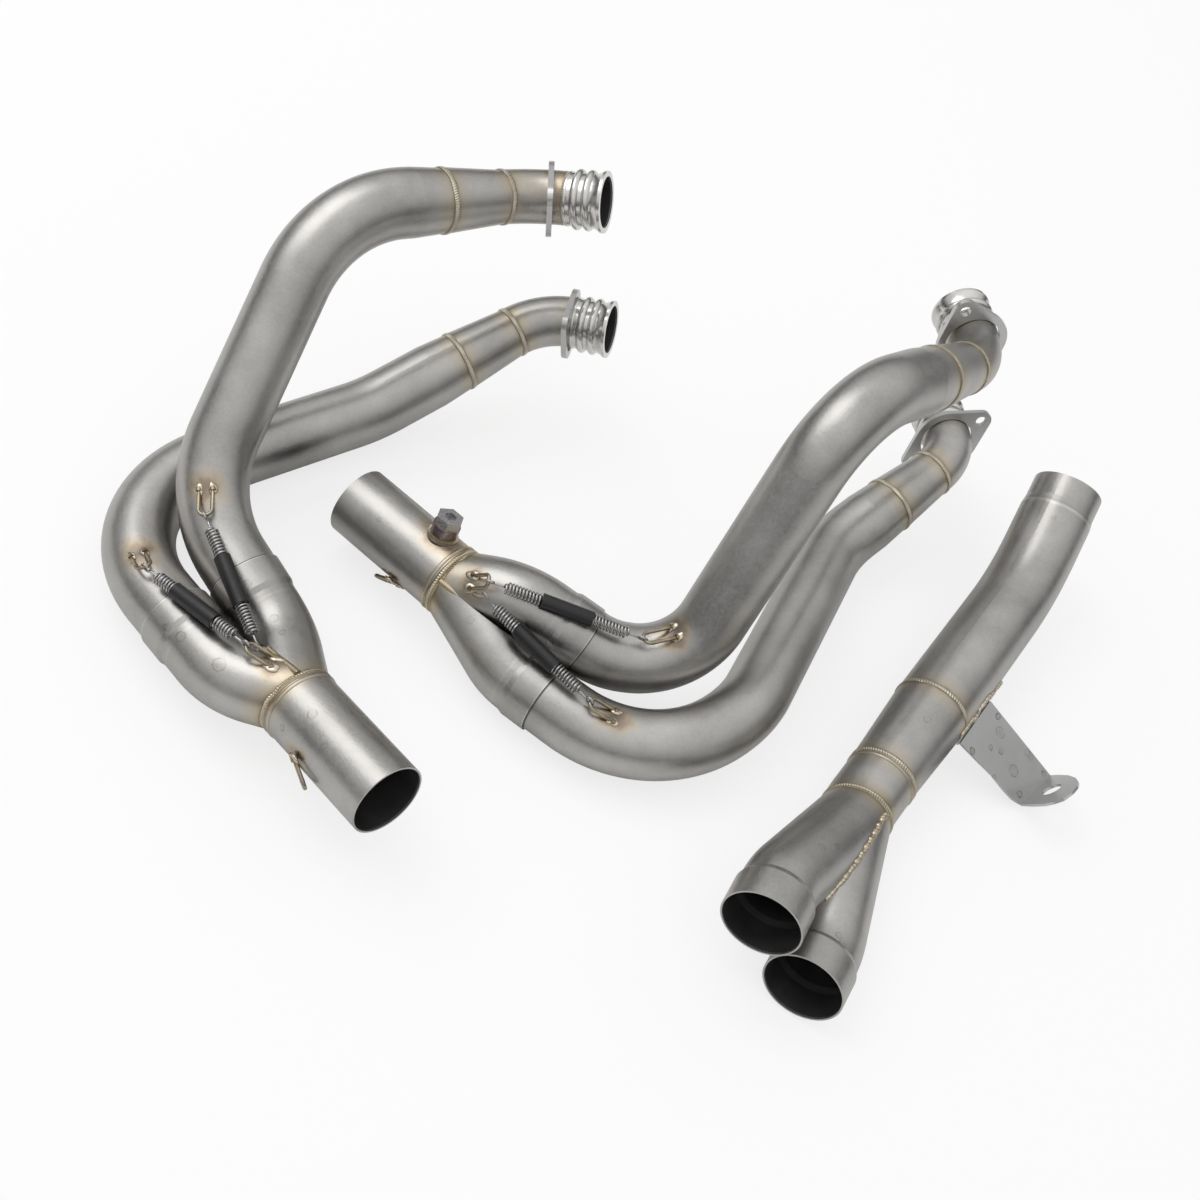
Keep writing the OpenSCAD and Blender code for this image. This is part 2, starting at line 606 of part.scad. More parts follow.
// a piece of a spring joint, in the frame of the arm's mouth; what is pipe, arm, spring or rubber
module spring_joint(what, feet, along, out, rises) {
  r = pipe_od / 2;
  bow_1 = bow_at(feet[0], along[0], out[0], r, rises[0]);
  bow_2 = bow_at(feet[1], along[1], out[1], r, rises[1]);
  if (what == "pipe") hook_on(feet[0], along[0], out[0], r, rises[0]);
  if (what == "arm") hook_on(feet[1], along[1], out[1], r, rises[1]);
  if (what == "spring") spring(bow_1, out[0], bow_2, out[1]);
  if (what == "rubber") rubber(bow_1, out[0], bow_2);
}

// the hook on a collector's outlet, its bow towards the link
module outlet_hook(at) {
  hook_on([0, 0, at[0]], [0, 0, 1], [cos(at[1]), sin(at[1]), 0], outlet_od / 2, at[2], at[3]);
}

// places its children at the bung, z out along it
module at_bung() {
  translate([0, 0, -bung_back]) rotate([0, 0, bung_turn]) rotate([0, 90, 0]) children();
}

module bung() {
  top = outlet_od / 2 + bung_h;
  difference() {
    at_bung() {
      translate([0, 0, outlet_od / 4]) cylinder(h = top - outlet_od / 4, d = bung_od);
      translate([0, 0, outlet_od / 4]) cylinder(h = outlet_od / 4 + 1.2, d = bung_od + 3);
    }
    translate([0, 0, -100]) cylinder(h = 110, d = outlet_od);
    at_bung() cylinder(h = top + 1, d = bung_bore);
  }
}

module hexagon(flats) {
  circle(d = flats / cos(30), $fn = 6);
}

// the hexagon plug that closes the bung, with a socket in its head
module plug() {
  top = outlet_od / 2 + bung_h;
  at_bung() difference() {
    union() {
      translate([0, 0, top]) linear_extrude(plug_h) hexagon(plug_hex);
      translate([0, 0, outlet_od / 2]) cylinder(h = bung_h + 1, d = bung_bore - 0.2);
    }
    translate([0, 0, top + 1.5]) linear_extrude(plug_h) hexagon(plug_socket);
  }
}

// places its children at a stage of the link: 0 outlet end, 1 weld at the cone, 2 neck, 3 ring
module along_link(stage) {
  if (stage == 0) children();
  if (stage > 0)
    translate([0, 0, link_runs[0]]) after_bend(link_radius, link_angle) translate([0, 0, link_runs[1]])
      if (stage == 1) children();
      else translate([0, 0, link_cone_len])
        if (stage == 2) children();
        else translate([0, 0, link_neck_run]) rotate([0, 0, link_neck_bend[0]])
          after_bend(link_neck_bend[1], link_neck_bend[2]) translate([0, 0, land_len]) children();
}

// the main tube of the link, drawn in at its outlet end
module link_tube() {
  a = link_end_od / 2;
  b = link_od / 2;
  z = link_end[0] + link_end[1];
  rotate_extrude()
    polygon([[a - wall, 0], [a, 0], [a, link_end[0]], [b, z], [b, link_runs[0]], [b - wall, link_runs[0]],
             [b - wall, z], [a - wall, link_end[0]]]);
  translate([0, 0, link_runs[0]]) {
    band(link_od);
    bend(link_radius, link_angle, link_od);
    after_bend(link_radius, link_angle) {
      band(link_od);
      straight(link_runs[1], link_od);
    }
  }
}

// the cone of the link, with the weld bead at its wide end
module link_taper() {
  a = link_od / 2;
  b = link_neck_od / 2;
  along_link(1) rotate_extrude()
    polygon(concat([[a - wall, 0], [a, 0]], half_moon(a, a, bead_w, bead_h),
                   [[a, land_len], [b, link_cone_len - land_len],
                    [b, link_cone_len], [b - wall, link_cone_len],
                    [b - wall, link_cone_len - land_len], [a - wall, land_len]]));
}

// the neck between the cone and the inlets, with a double bead at its start and a bead at the ring
module link_throat() {
  r = link_neck_od / 2;
  along_link(2) {
    rotate_extrude()
      polygon(concat([[r - wall, 0], [r + hair, 0]],
                     [for (p = half_moon(r + hair, r, 3, bead_h)) p - [0, 1]],
                     [for (p = half_moon(r, r, 3, bead_h)) p + [0, 3]],
                     [[r, link_neck_run], [r - wall, link_neck_run]]));
    translate([0, 0, link_neck_run]) rotate([0, 0, link_neck_bend[0]]) {
      band(link_neck_od);
      bend(link_neck_bend[1], link_neck_bend[2], link_neck_od);
      after_bend(link_neck_bend[1], link_neck_bend[2]) {
        band(link_neck_od);
        rotate_extrude()
          polygon(concat([[r - wall, 0], [r, 0]],
                         [for (p = half_moon(r, r, land_len - 1, bead_h)) p + [0, land_len / 2]],
                         [[r, land_len], [r - ring_step, land_len], [r - ring_step, land_len - 0.6],
                          [r - wall, land_len - 1.4]]));
      }
    }
  }
}

module link_inlet(side) {
  along_link(3) rotate([0, 0, link_roll])
    collector_arm(link_aim, link_arm, side, link_neck_od, link_neck_od, inlet_od, link_slip);
}

// the bracket in profile, seen along the tube: root strip, plate and folded ear
module bracket_profile() {
  h = bracket_t / 2;
  up = [for (k = [-1, 1]) [-k * h - 1.6, strip_up]];
  d = [cos(plate_lean), sin(plate_lean)];
  n = [-sin(plate_lean), cos(plate_lean)];
  e = [cos(plate_lean + ear_fold), sin(plate_lean + ear_fold)];
  m = [-sin(plate_lean + ear_fold), cos(plate_lean + ear_fold)];
  f = unit(n + m) / cos(ear_fold / 2);
  polygon([up[0], [h, h * 0.6], plate_len * d + h * f, plate_len * d + (ear_len + 1) * e + h * m,
           plate_len * d + (ear_len + 1) * e - h * m, plate_len * d - h * f, [-h, -h * 1.4], up[1]]);
}

// outline of the ear: x out from the fold, y along it
module ear_shape() {
  a = plate_end / 2;
  polygon(concat([[-3, a]],
                 [for (t = [72:-8:8])
                   [-8 + 25.8 * cos(t), -a + 9 + 25.8 * sin(t) / 24.5 * (plate_end - 12)]],
                 [for (t = [20:-20:-140]) [ear_len - 10.3, -a - 1] + 10.3 * [cos(t), sin(t)]], [[-3, -a]]));
}

module bracket() {
  along_link(1) difference() {
    rotate([0, 0, bracket_turn]) translate([link_od / 2 + bracket_t / 2 + 0.3, 0, -bracket_back])
      difference() {
        translate([0, 0, -40]) linear_extrude(70) bracket_profile();
        // the tapering sides of the plate, and what is left of the root strip between its tabs
        rotate([0, 0, plate_lean]) rotate([90, 0, 0]) translate([0, 0, -20]) linear_extrude(40) {
          polygon([[-20, bracket_root / 2], [0, bracket_root / 2], [plate_len, plate_end / 2 - plate_skew],
                   [plate_len, 60], [-20, 60]]);
          polygon([[-20, -bracket_root / 2], [0, -bracket_root / 2], [plate_len, -plate_end / 2 - plate_skew],
                   [plate_len, -70], [-20, -70]]);
        }
        for (z = [-bracket_root / 2 - 1, -4, bracket_root / 2 - 3])
          translate([-6, strip_up - 3.5, z]) cube([12, 10, z == -4 ? 8 : 4]);
        translate(plate_len * [cos(plate_lean), sin(plate_lean), 0]) rotate([0, 0, plate_lean + ear_fold])
          rotate([90, 0, 0]) translate([0, -plate_skew, -10]) linear_extrude(20) {
            difference() {
              translate([0, -80]) square([60, 160]);
              ear_shape();
            }
            translate([ear_len / 2 - 0.5, -plate_end / 2 + 13]) circle(d = ear_hole);
          }
      }
    translate([0, 0, -80]) cylinder(h = 160, d = link_od);
  }
}

color("silver")  // left_outlet
  translate(left_place) rotate(left_lie) collector_outlet(left_outlet_len);
color("silver")  // left_arm_1
  translate(left_place) rotate(left_lie)
    collector_arm(left1_aim, left1_arm, 0, outlet_od, pipe_od, sleeve_od, slip_depth);
color("silver")  // left_arm_2
  translate(left_place) rotate(left_lie)
    collector_arm(left2_aim, left2_arm, 180, outlet_od, pipe_od, sleeve_od, slip_depth);
color("tan")  // left_crotch_strip
  translate(left_place) rotate(left_lie) crotch_strip(left1_aim, left1_arm, left2_aim, left2_arm, -1);
color("gray")  // left_outlet_hook
  translate(left_place) rotate(left_lie) outlet_hook(left_outlet_hook_at);
color("silver")  // left_pipe_1
  translate(left_place) rotate(left_lie) mouth(left1_aim, left1_arm, 0)
    port_pipe(left1_turns, left1_radii, left1_angles, left1_runs);
color("silver")  // left_cone_1
  translate(left_place) rotate(left_lie) mouth(left1_aim, left1_arm, 0)
    port_cone(left1_turns, left1_radii, left1_angles, left1_runs);
color("silver")  // left_elbow_1
  translate(left_place) rotate(left_lie) mouth(left1_aim, left1_arm, 0)
    port_elbow(left1_turns, left1_radii, left1_angles, left1_runs);
color("gainsboro")  // left_collar_1
  translate(left_place) rotate(left_lie) mouth(left1_aim, left1_arm, 0)
    port_collar(left1_turns, left1_radii, left1_angles, left1_runs);
color("gainsboro")  // left_flange_1
  translate(left_place) rotate(left_lie) mouth(left1_aim, left1_arm, 0)
    port_flange(left1_turns, left1_radii, left1_angles, left1_runs, left1_flange_sit, left1_flange_turn);
color("gray")  // left_pipe_hook_1
  translate(left_place) rotate(left_lie) mouth(left1_aim, left1_arm, 0)
    spring_joint("pipe", [left1_pipe_feet, left1_arm_feet],
    [left1_pipe_along, left1_arm_along], [left1_pipe_out, left1_arm_out], [left_rises[0], left_rises[1]]);
color("gray")  // left_arm_hook_1
  translate(left_place) rotate(left_lie) mouth(left1_aim, left1_arm, 0)
    spring_joint("arm", [left1_pipe_feet, left1_arm_feet],
    [left1_pipe_along, left1_arm_along], [left1_pipe_out, left1_arm_out], [left_rises[0], left_rises[1]]);
color("dimgray")  // left_spring_1
  translate(left_place) rotate(left_lie) mouth(left1_aim, left1_arm, 0)
    spring_joint("spring", [left1_pipe_feet, left1_arm_feet],
    [left1_pipe_along, left1_arm_along], [left1_pipe_out, left1_arm_out], [left_rises[0], left_rises[1]]);
color("black")  // left_rubber_1
  translate(left_place) rotate(left_lie) mouth(left1_aim, left1_arm, 0)
    spring_joint("rubber", [left1_pipe_feet, left1_arm_feet],
    [left1_pipe_along, left1_arm_along], [left1_pipe_out, left1_arm_out], [left_rises[0], left_rises[1]]);
color("silver")  // left_pipe_2
  translate(left_place) rotate(left_lie) mouth(left2_aim, left2_arm, 180)
    port_pipe(left2_turns, left2_radii, left2_angles, left2_runs);
color("silver")  // left_cone_2
  translate(left_place) rotate(left_lie) mouth(left2_aim, left2_arm, 180)
    port_cone(left2_turns, left2_radii, left2_angles, left2_runs);
color("silver")  // left_elbow_2
  translate(left_place) rotate(left_lie) mouth(left2_aim, left2_arm, 180)
    port_elbow(left2_turns, left2_radii, left2_angles, left2_runs);
color("gainsboro")  // left_collar_2
  translate(left_place) rotate(left_lie) mouth(left2_aim, left2_arm, 180)
    port_collar(left2_turns, left2_radii, left2_angles, left2_runs);
color("gainsboro")  // left_flange_2
  translate(left_place) rotate(left_lie) mouth(left2_aim, left2_arm, 180)
    port_flange(left2_turns, left2_radii, left2_angles, left2_runs, left2_flange_sit, left2_flange_turn);
color("gray")  // left_pipe_hook_2
  translate(left_place) rotate(left_lie) mouth(left2_aim, left2_arm, 180)
    spring_joint("pipe", [left2_pipe_feet, left2_arm_feet],
    [left2_pipe_along, left2_arm_along], [left2_pipe_out, left2_arm_out], [left_rises[2], left_rises[3]]);
color("gray")  // left_arm_hook_2
  translate(left_place) rotate(left_lie) mouth(left2_aim, left2_arm, 180)
    spring_joint("arm", [left2_pipe_feet, left2_arm_feet],
    [left2_pipe_along, left2_arm_along], [left2_pipe_out, left2_arm_out], [left_rises[2], left_rises[3]]);
color("dimgray")  // left_spring_2
  translate(left_place) rotate(left_lie) mouth(left2_aim, left2_arm, 180)
    spring_joint("spring", [left2_pipe_feet, left2_arm_feet],
    [left2_pipe_along, left2_arm_along], [left2_pipe_out, left2_arm_out], [left_rises[2], left_rises[3]]);
color("black")  // left_rubber_2
  translate(left_place) rotate(left_lie) mouth(left2_aim, left2_arm, 180)
    spring_joint("rubber", [left2_pipe_feet, left2_arm_feet],
    [left2_pipe_along, left2_arm_along], [left2_pipe_out, left2_arm_out], [left_rises[2], left_rises[3]]);
color("silver")  // right_outlet
  translate(right_place) rotate(right_lie) difference() {
    collector_outlet(right_outlet_len);
    at_bung() cylinder(h = outlet_od, d = bung_bore);
  }
color("silver")  // right_arm_1
  translate(right_place) rotate(right_lie)
    collector_arm(right1_aim, right1_arm, 0, outlet_od, pipe_od, sleeve_od, slip_depth);
color("silver")  // right_arm_2
  translate(right_place) rotate(right_lie)
    collector_arm(right2_aim, right2_arm, 180, outlet_od, pipe_od, sleeve_od, slip_depth);
color("tan")  // right_crotch_strip
  translate(right_place) rotate(right_lie) crotch_strip(right1_aim, right1_arm, right2_aim, right2_arm, 1);
color("gray")  // right_outlet_hook
  translate(right_place) rotate(right_lie) outlet_hook(right_outlet_hook_at);
color("silver")  // right_pipe_1
  translate(right_place) rotate(right_lie) mouth(right1_aim, right1_arm, 0)
    port_pipe(right1_turns, right1_radii, right1_angles, right1_runs);
color("silver")  // right_cone_1
  translate(right_place) rotate(right_lie) mouth(right1_aim, right1_arm, 0)
    port_cone(right1_turns, right1_radii, right1_angles, right1_runs);
color("silver")  // right_elbow_1
  translate(right_place) rotate(right_lie) mouth(right1_aim, right1_arm, 0)
    port_elbow(right1_turns, right1_radii, right1_angles, right1_runs);
color("gainsboro")  // right_collar_1
  translate(right_place) rotate(right_lie) mouth(right1_aim, right1_arm, 0)
    port_collar(right1_turns, right1_radii, right1_angles, right1_runs);
color("gainsboro")  // right_flange_1
  translate(right_place) rotate(right_lie) mouth(right1_aim, right1_arm, 0)
    port_flange(right1_turns, right1_radii, right1_angles, right1_runs,
                right1_flange_sit, right1_flange_turn);
color("gray")  // right_pipe_hook_1
  translate(right_place) rotate(right_lie) mouth(right1_aim, right1_arm, 0)
    spring_joint("pipe", [right1_pipe_feet, right1_arm_feet],
    [right1_pipe_along, right1_arm_along], [right1_pipe_out, right1_arm_out],
    [right_rises[0], right_rises[1]]);
color("gray")  // right_arm_hook_1
  translate(right_place) rotate(right_lie) mouth(right1_aim, right1_arm, 0)
    spring_joint("arm", [right1_pipe_feet, right1_arm_feet],
    [right1_pipe_along, right1_arm_along], [right1_pipe_out, right1_arm_out],
    [right_rises[0], right_rises[1]]);
color("dimgray")  // right_spring_1
  translate(right_place) rotate(right_lie) mouth(right1_aim, right1_arm, 0)
    spring_joint("spring", [right1_pipe_feet, right1_arm_feet],
    [right1_pipe_along, right1_arm_along], [right1_pipe_out, right1_arm_out],
    [right_rises[0], right_rises[1]]);
color("black")  // right_rubber_1
  translate(right_place) rotate(right_lie) mouth(right1_aim, right1_arm, 0)
    spring_joint("rubber", [right1_pipe_feet, right1_arm_feet],
    [right1_pipe_along, right1_arm_along], [right1_pipe_out, right1_arm_out],
    [right_rises[0], right_rises[1]]);
color("silver")  // right_pipe_2
  translate(right_place) rotate(right_lie) mouth(right2_aim, right2_arm, 180)
    port_pipe(right2_turns, right2_radii, right2_angles, right2_runs);
color("silver")  // right_cone_2
  translate(right_place) rotate(right_lie) mouth(right2_aim, right2_arm, 180)
    port_cone(right2_turns, right2_radii, right2_angles, right2_runs);
color("silver")  // right_elbow_2
  translate(right_place) rotate(right_lie) mouth(right2_aim, right2_arm, 180)
    port_elbow(right2_turns, right2_radii, right2_angles, right2_runs);
color("gainsboro")  // right_collar_2
  translate(right_place) rotate(right_lie) mouth(right2_aim, right2_arm, 180)
    port_collar(right2_turns, right2_radii, right2_angles, right2_runs);
color("gainsboro")  // right_flange_2
  translate(right_place) rotate(right_lie) mouth(right2_aim, right2_arm, 180)
    port_flange(right2_turns, right2_radii, right2_angles, right2_runs,
                right2_flange_sit, right2_flange_turn);
color("gray")  // right_pipe_hook_2
  translate(right_place) rotate(right_lie) mouth(right2_aim, right2_arm, 180)
    spring_joint("pipe", [right2_pipe_feet, right2_arm_feet],
    [right2_pipe_along, right2_arm_along], [right2_pipe_out, right2_arm_out],
    [right_rises[2], right_rises[3]]);
color("gray")  // right_arm_hook_2
  translate(right_place) rotate(right_lie) mouth(right2_aim, right2_arm, 180)
    spring_joint("arm", [right2_pipe_feet, right2_arm_feet],
    [right2_pipe_along, right2_arm_along], [right2_pipe_out, right2_arm_out],
    [right_rises[2], right_rises[3]]);
color("dimgray")  // right_spring_2
  translate(right_place) rotate(right_lie) mouth(right2_aim, right2_arm, 180)
    spring_joint("spring", [right2_pipe_feet, right2_arm_feet],
    [right2_pipe_along, right2_arm_along], [right2_pipe_out, right2_arm_out],
    [right_rises[2], right_rises[3]]);
color("black")  // right_rubber_2
  translate(right_place) rotate(right_lie) mouth(right2_aim, right2_arm, 180)
    spring_joint("rubber", [right2_pipe_feet, right2_arm_feet],
    [right2_pipe_along, right2_arm_along], [right2_pipe_out, right2_arm_out],
    [right_rises[2], right_rises[3]]);
color("silver")  // right_bung
  translate(right_place) rotate(right_lie) bung();
color("gray")  // right_plug
  translate(right_place) rotate(right_lie) plug();
color("silver")  // link_main
  translate(link_place) rotate(link_lie) link_tube();
color("silver")  // link_cone
  translate(link_place) rotate(link_lie) link_taper();
color("silver")  // link_neck
  translate(link_place) rotate(link_lie) link_throat();
color("silver")  // link_inlet_1
  translate(link_place) rotate(link_lie) link_inlet(0);
color("silver")  // link_inlet_2
  translate(link_place) rotate(link_lie) link_inlet(180);
color("gainsboro")  // link_bracket
  translate(link_place) rotate(link_lie) bracket();
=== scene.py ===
# A motorcycle exhaust header, taken apart at its slip joints and laid out on a pale table.
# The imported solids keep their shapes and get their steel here. The springs and the bracket are replaced
# by pieces made here, and the welds are added.
import math
import bpy
import numpy as np
from mathutils import Matrix, Vector


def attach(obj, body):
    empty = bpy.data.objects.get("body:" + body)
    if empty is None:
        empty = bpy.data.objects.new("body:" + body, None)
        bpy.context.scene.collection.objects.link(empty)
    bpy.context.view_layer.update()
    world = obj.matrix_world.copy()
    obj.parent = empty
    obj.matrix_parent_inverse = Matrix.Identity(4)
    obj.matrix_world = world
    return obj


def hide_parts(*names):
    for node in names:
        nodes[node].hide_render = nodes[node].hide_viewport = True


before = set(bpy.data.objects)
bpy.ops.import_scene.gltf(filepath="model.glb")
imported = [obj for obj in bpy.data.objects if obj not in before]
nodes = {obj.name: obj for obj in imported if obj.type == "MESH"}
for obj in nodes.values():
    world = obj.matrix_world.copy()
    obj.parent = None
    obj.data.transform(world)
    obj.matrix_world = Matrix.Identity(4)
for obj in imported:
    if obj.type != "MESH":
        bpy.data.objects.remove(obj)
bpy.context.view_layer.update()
mm = 0.001

# where the welds and mouths are: a point on the tube's axis in mm, and the way the tube runs there
places = {
    "leftRing": ((-171.5, -213.0, 42.3), (-0.836, 0.526, -0.156)),
    "leftCone1": ((-227.6, 120.4, 184.7), (0.699, 0.711, -0.077)),
    "leftElbow1": ((-194.1, 154.6, 181.0), (0.699, 0.711, -0.077)),
    "leftCollar1": ((-149.6, 174.1, 187.6), (0.949, 0.042, 0.311)),
    "leftPort1": ((-124.0, 175.3, 196.0), (0.949, 0.042, 0.311)),
    "leftMouth1": ((-242.4, -136.6, 38.9), (-0.821, 0.540, 0.188)),
    "leftCone2": ((-187.6, 117.0, 53.2), (0.576, 0.752, 0.320)),
    "leftElbow2": ((-159.9, 153.1, 68.6), (0.576, 0.752, 0.320)),
    "leftCollar2": ((-117.2, 173.3, 84.0), (0.969, 0.012, 0.247)),
    "leftPort2": ((-91.0, 173.6, 90.7), (0.969, 0.012, 0.247)),
    "leftMouth2": ((-268.3, -181.6, 30.7), (-0.845, 0.529, -0.078)),
    "leftEnd": ((-92.1, -263.0, 57.1), (0.836, -0.526, 0.156)),
    "rightRing": ((-117.1, -73.5, 39.9), (0.914, -0.403, 0.042)),
    "rightCone1": ((133.6, 126.6, 199.8), (0.481, 0.838, -0.257)),
    "rightElbow1": ((156.7, 166.8, 187.5), (0.481, 0.838, -0.257)),
    "rightCollar1": ((157.5, 218.3, 178.9), (-0.423, 0.905, -0.039)),
    "rightPort1": ((146.1, 242.7, 177.9), (-0.423, 0.905, -0.039)),
    "rightMouth1": ((-20.4, -81.5, 45.5), (0.967, -0.077, -0.243)),
    "rightCone2": ((159.8, 164.5, 41.6), (0.496, 0.827, 0.265)),
    "rightElbow2": ((183.6, 204.2, 54.3), (0.496, 0.827, 0.265)),
    "rightCollar2": ((186.6, 251.3, 56.9), (-0.349, 0.924, -0.153)),
    "rightPort2": ((177.2, 276.3, 52.8), (-0.349, 0.924, -0.153)),
    "rightMouth2": ((-29.1, -124.8, 25.3), (0.954, -0.300, 0.002)),
    "rightEnd": ((-203.9, -35.2, 35.9), (-0.914, 0.403, -0.042)),
    "linkEnd": ((282.8, 207.3, 87.9), (0.105, 0.881, 0.461)),
    "linkCone": ((226.5, -13.7, 37.4), (-0.310, -0.948, -0.066)),
    "linkNeck": ((204.1, -82.2, 32.6), (-0.310, -0.948, -0.066)),
    "linkRing": ((192.8, -120.0, 31.5), (-0.206, -0.973, 0.101)),
    "linkMouth1": ((144.4, -245.1, 60.3), (-0.183, -0.980, 0.084)),
    "linkMouth2": ((185.6, -257.0, 29.9), (-0.230, -0.966, 0.118)),
    "bungFoot": ((-135.5, -58.2, 64.4), (0.064, 0.244, 0.968)),
}

# hooks: bow in mm, way out from the tube, way along it, tube radius, height of the bow over it, skew
hooks = {
    "left_pipe_hook_1": ((-276.9, -128.4, 73.9), (-0.009, -0.547, 0.837), (-0.446, 0.751, 0.486), 24, 6.2, 0),
    "left_arm_hook_1": ((-205.5, -198.1, 57.8), (-0.668, -0.231, 0.708), (0.506, -0.838, 0.204), 24, 5.2, 0),
    "left_pipe_hook_2": ((-294.9, -174.6, 59.8), (-0.204, -0.107, 0.973), (-0.708, 0.703, -0.071),
                          24, 7.6, 0),
    "left_arm_hook_2": ((-211.0, -205.9, 67.8), (-0.153, 0.181, 0.972), (0.988, 0.049, 0.147), 24, 7.6, 0),
    "left_outlet_hook": ((-142.1, -266.1, 38.8), (-0.445, -0.816, -0.368), (-0.836, 0.526, -0.156),
                          25.5, 6, 28),
    "right_pipe_hook_1": ((16.6, -84.3, 74.2), (-0.527, -0.413, 0.743), (0.551, 0.500, 0.668), 24, 14.6, 0),
    "right_arm_hook_1": ((-92.2, -97.2, 83.8), (-0.357, -0.536, 0.765), (-0.919, 0.058, -0.389), 24, 13.7, 0),
    "right_pipe_hook_2": ((-0.6, -135.4, 55.2), (-0.037, -0.010, 0.999), (0.999, 0.036, 0.037), 24, 5.9, 0),
    "right_arm_hook_2": ((-92.6, -94.1, 64.0), (0.129, -0.182, 0.975), (-0.792, 0.572, 0.212), 24, 6.2, 0),
    "right_outlet_hook": ((-168.9, -74.4, 15.1), (-0.250, -0.641, -0.725), (0.914, -0.403, 0.042),
                          25.5, 6, -28),
}

# faint rub and handling marks: a point on the surface in mm, ring radius in mm, strength
marks = {
    "left_arm_2": (((-222.2, -219.4, 57.0), 4.2, 0.5), ((-264.1, -204.4, 50.6), 2.4, 0.5),
                   ((-253.5, -207.9, 52.0), 3.2, 0.5)),
    "left_outlet": (((-154.7, -235.2, 70.3), 3.0, 0.5), ((-169.3, -242.6, 54.2), 1.7, 0.7),
                    ((-139.3, -252.7, 69.7), 2.0, 0.3)),
    "left_arm_1": (((-207.7, -169.8, 55.3), 2.6, 0.5), ((-198.1, -179.7, 57.9), 2.2, 0.5),
                   ((-233.6, -155.7, 58.6), 2.8, 0.35)),
    "left_pipe_2": (((-310.8, -149.7, 50.7), 3.5, 0.25),),
    "right_outlet": (((-179.9, -62.6, 57.7), 1.5, 0.4),),
    "right_arm_2": (((-95.1, -107.6, 51.5), 2.6, 0.3),),
    "link_inlet_1": (((175.8, -178.5, 71.1), 1.8, 0.5), ((165.6, -186.1, 75.6), 2.2, 0.5),
                     ((140.1, -202.4, 77.8), 2.6, 0.3)),
    "link_inlet_2": (((194.6, -225.8, 51.2), 2.0, 0.45), ((198.2, -230.9, 51.1), 2.4, 0.45)),
    "link_cone": (((218.4, -43.5, 62.2), 2.4, 0.4), ((195.5, -67.0, 55.3), 1.8, 0.4)),
    "link_main": (((257.9, 174.2, 90.3), 2.0, 0.4), ((272.0, 162.8, 95.2), 1.5, 0.4)),
}

# the bracket, in mm: the corner and axes of its frame; marks as place along and across the plate, ring
# radius and strength; the strip's edge as place along the tube and height; the plate's outline; and the
# ear's outline and hole (centre, radius) as way out from the fold and way along it
bracket = {
    "corner": (258.8, -9.3, 39.3), "along": (0.841, -0.241, -0.485), "face": (0.444, -0.206, 0.872),
    "across": (-0.310, -0.948, -0.066), "tubeSide": (0.949, -0.313, 0.032), "up": (-0.051, -0.053, 0.997),
    "halfSheet": 1.0, "tubeRadius": 28.0, "tubeGap": 1.3,
    "rings": ((12.4, -21.6, 2.2, 0.85), (11.5, 18.6, 2.3, 0.9), (63.1, 5.2, 2.3, 0.85),
              (70.7, -26.3, 2.2, 0.85), (21.9, 2.1, 1.9, 0.7), (30.8, -4.0, 2.2, 0.75),
              (38.3, 15.4, 1.6, 0.4)),
    "smudges": ((21.5, -14.1, 4.2, 0.5), (48.3, -3.2, 4.2, 0.55), (49.3, -25.1, 2.6, 0.4),
                (53.1, -25.5, 3.0, 0.4)),
    "beadStart": (-45, 1.2), "beadRadius": 1.4,
    "stripEdge": ((-23.5, 4.2), (-22.2, 8.0), (-4.9, 8.2), (-3.4, 4.6), (3.4, 4.6), (4.9, 8.2),
                  (22.2, 8.0), (23.5, 4.2)),
    "plate": ((0, -24.2), (77.3, -31.1), (69, 9.8), (60.4, 13.7), (50, 15.3), (35.7, 16.2), (19, 19.9),
              (0, 23.5)),
    "foldAt": (77.3, -31.1), "foldRun": (-0.471, -0.881, 0.032), "earOut": (0.431, -0.199, 0.880),
    "ear": ((0.0, 0.0), (9.3, 1.9), (21.1, 6.0), (32.2, 12.9), (39.1, 20.3), (43.0, 27.9),
            (44.2, 37.1), (41.8, 45.3), (35.0, 48.5), (26.6, 49.1), (13.5, 46.5), (0.0, 41.7)),
    "hole": (19.0, 26.3, 7.5), "stripLow": -3.0, "stripThick": 1.3, "stripColumns": 95,
}

# camera and surroundings
room = {
    "cameraPlace": (-0.0203, -0.76745, 0.88666),
    "cameraRight": (0.9244, 0.2890, 0.2491),
    "cameraUp": (-0.3815, 0.7003, 0.6034),
    "cameraBack": (0.0, -0.6528, 0.7576),
    "lens": 48,
    "floorColour": (0.9, 0.9, 0.895, 1),
    "shadowLeft": 0.24,         # how much of the floor's shadow the camera sees
    "skyStops": ((0, 0.035), (0.14, 0.09), (0.40, 0.64), (1, 1.1)),
    "softboxPlace": (-1.5, 0.4, 2.3),
    "softboxSide": 1.9,
    "softboxPower": 20,
    "tableHalf": 14.0,
}


def makeCamera():
    data = bpy.data.cameras.new("photoCamera")
    data.lens, data.sensor_width = room["lens"], 36
    data.clip_start, data.clip_end = 0.01, 60
    cam = bpy.data.objects.new("photoCamera", data)
    bpy.context.scene.collection.objects.link(cam)
    turn = Matrix((room["cameraRight"], room["cameraUp"], room["cameraBack"])).transposed()
    cam.matrix_world = Matrix.Translation(room["cameraPlace"]) @ turn.to_4x4()
    bpy.context.scene.camera = cam


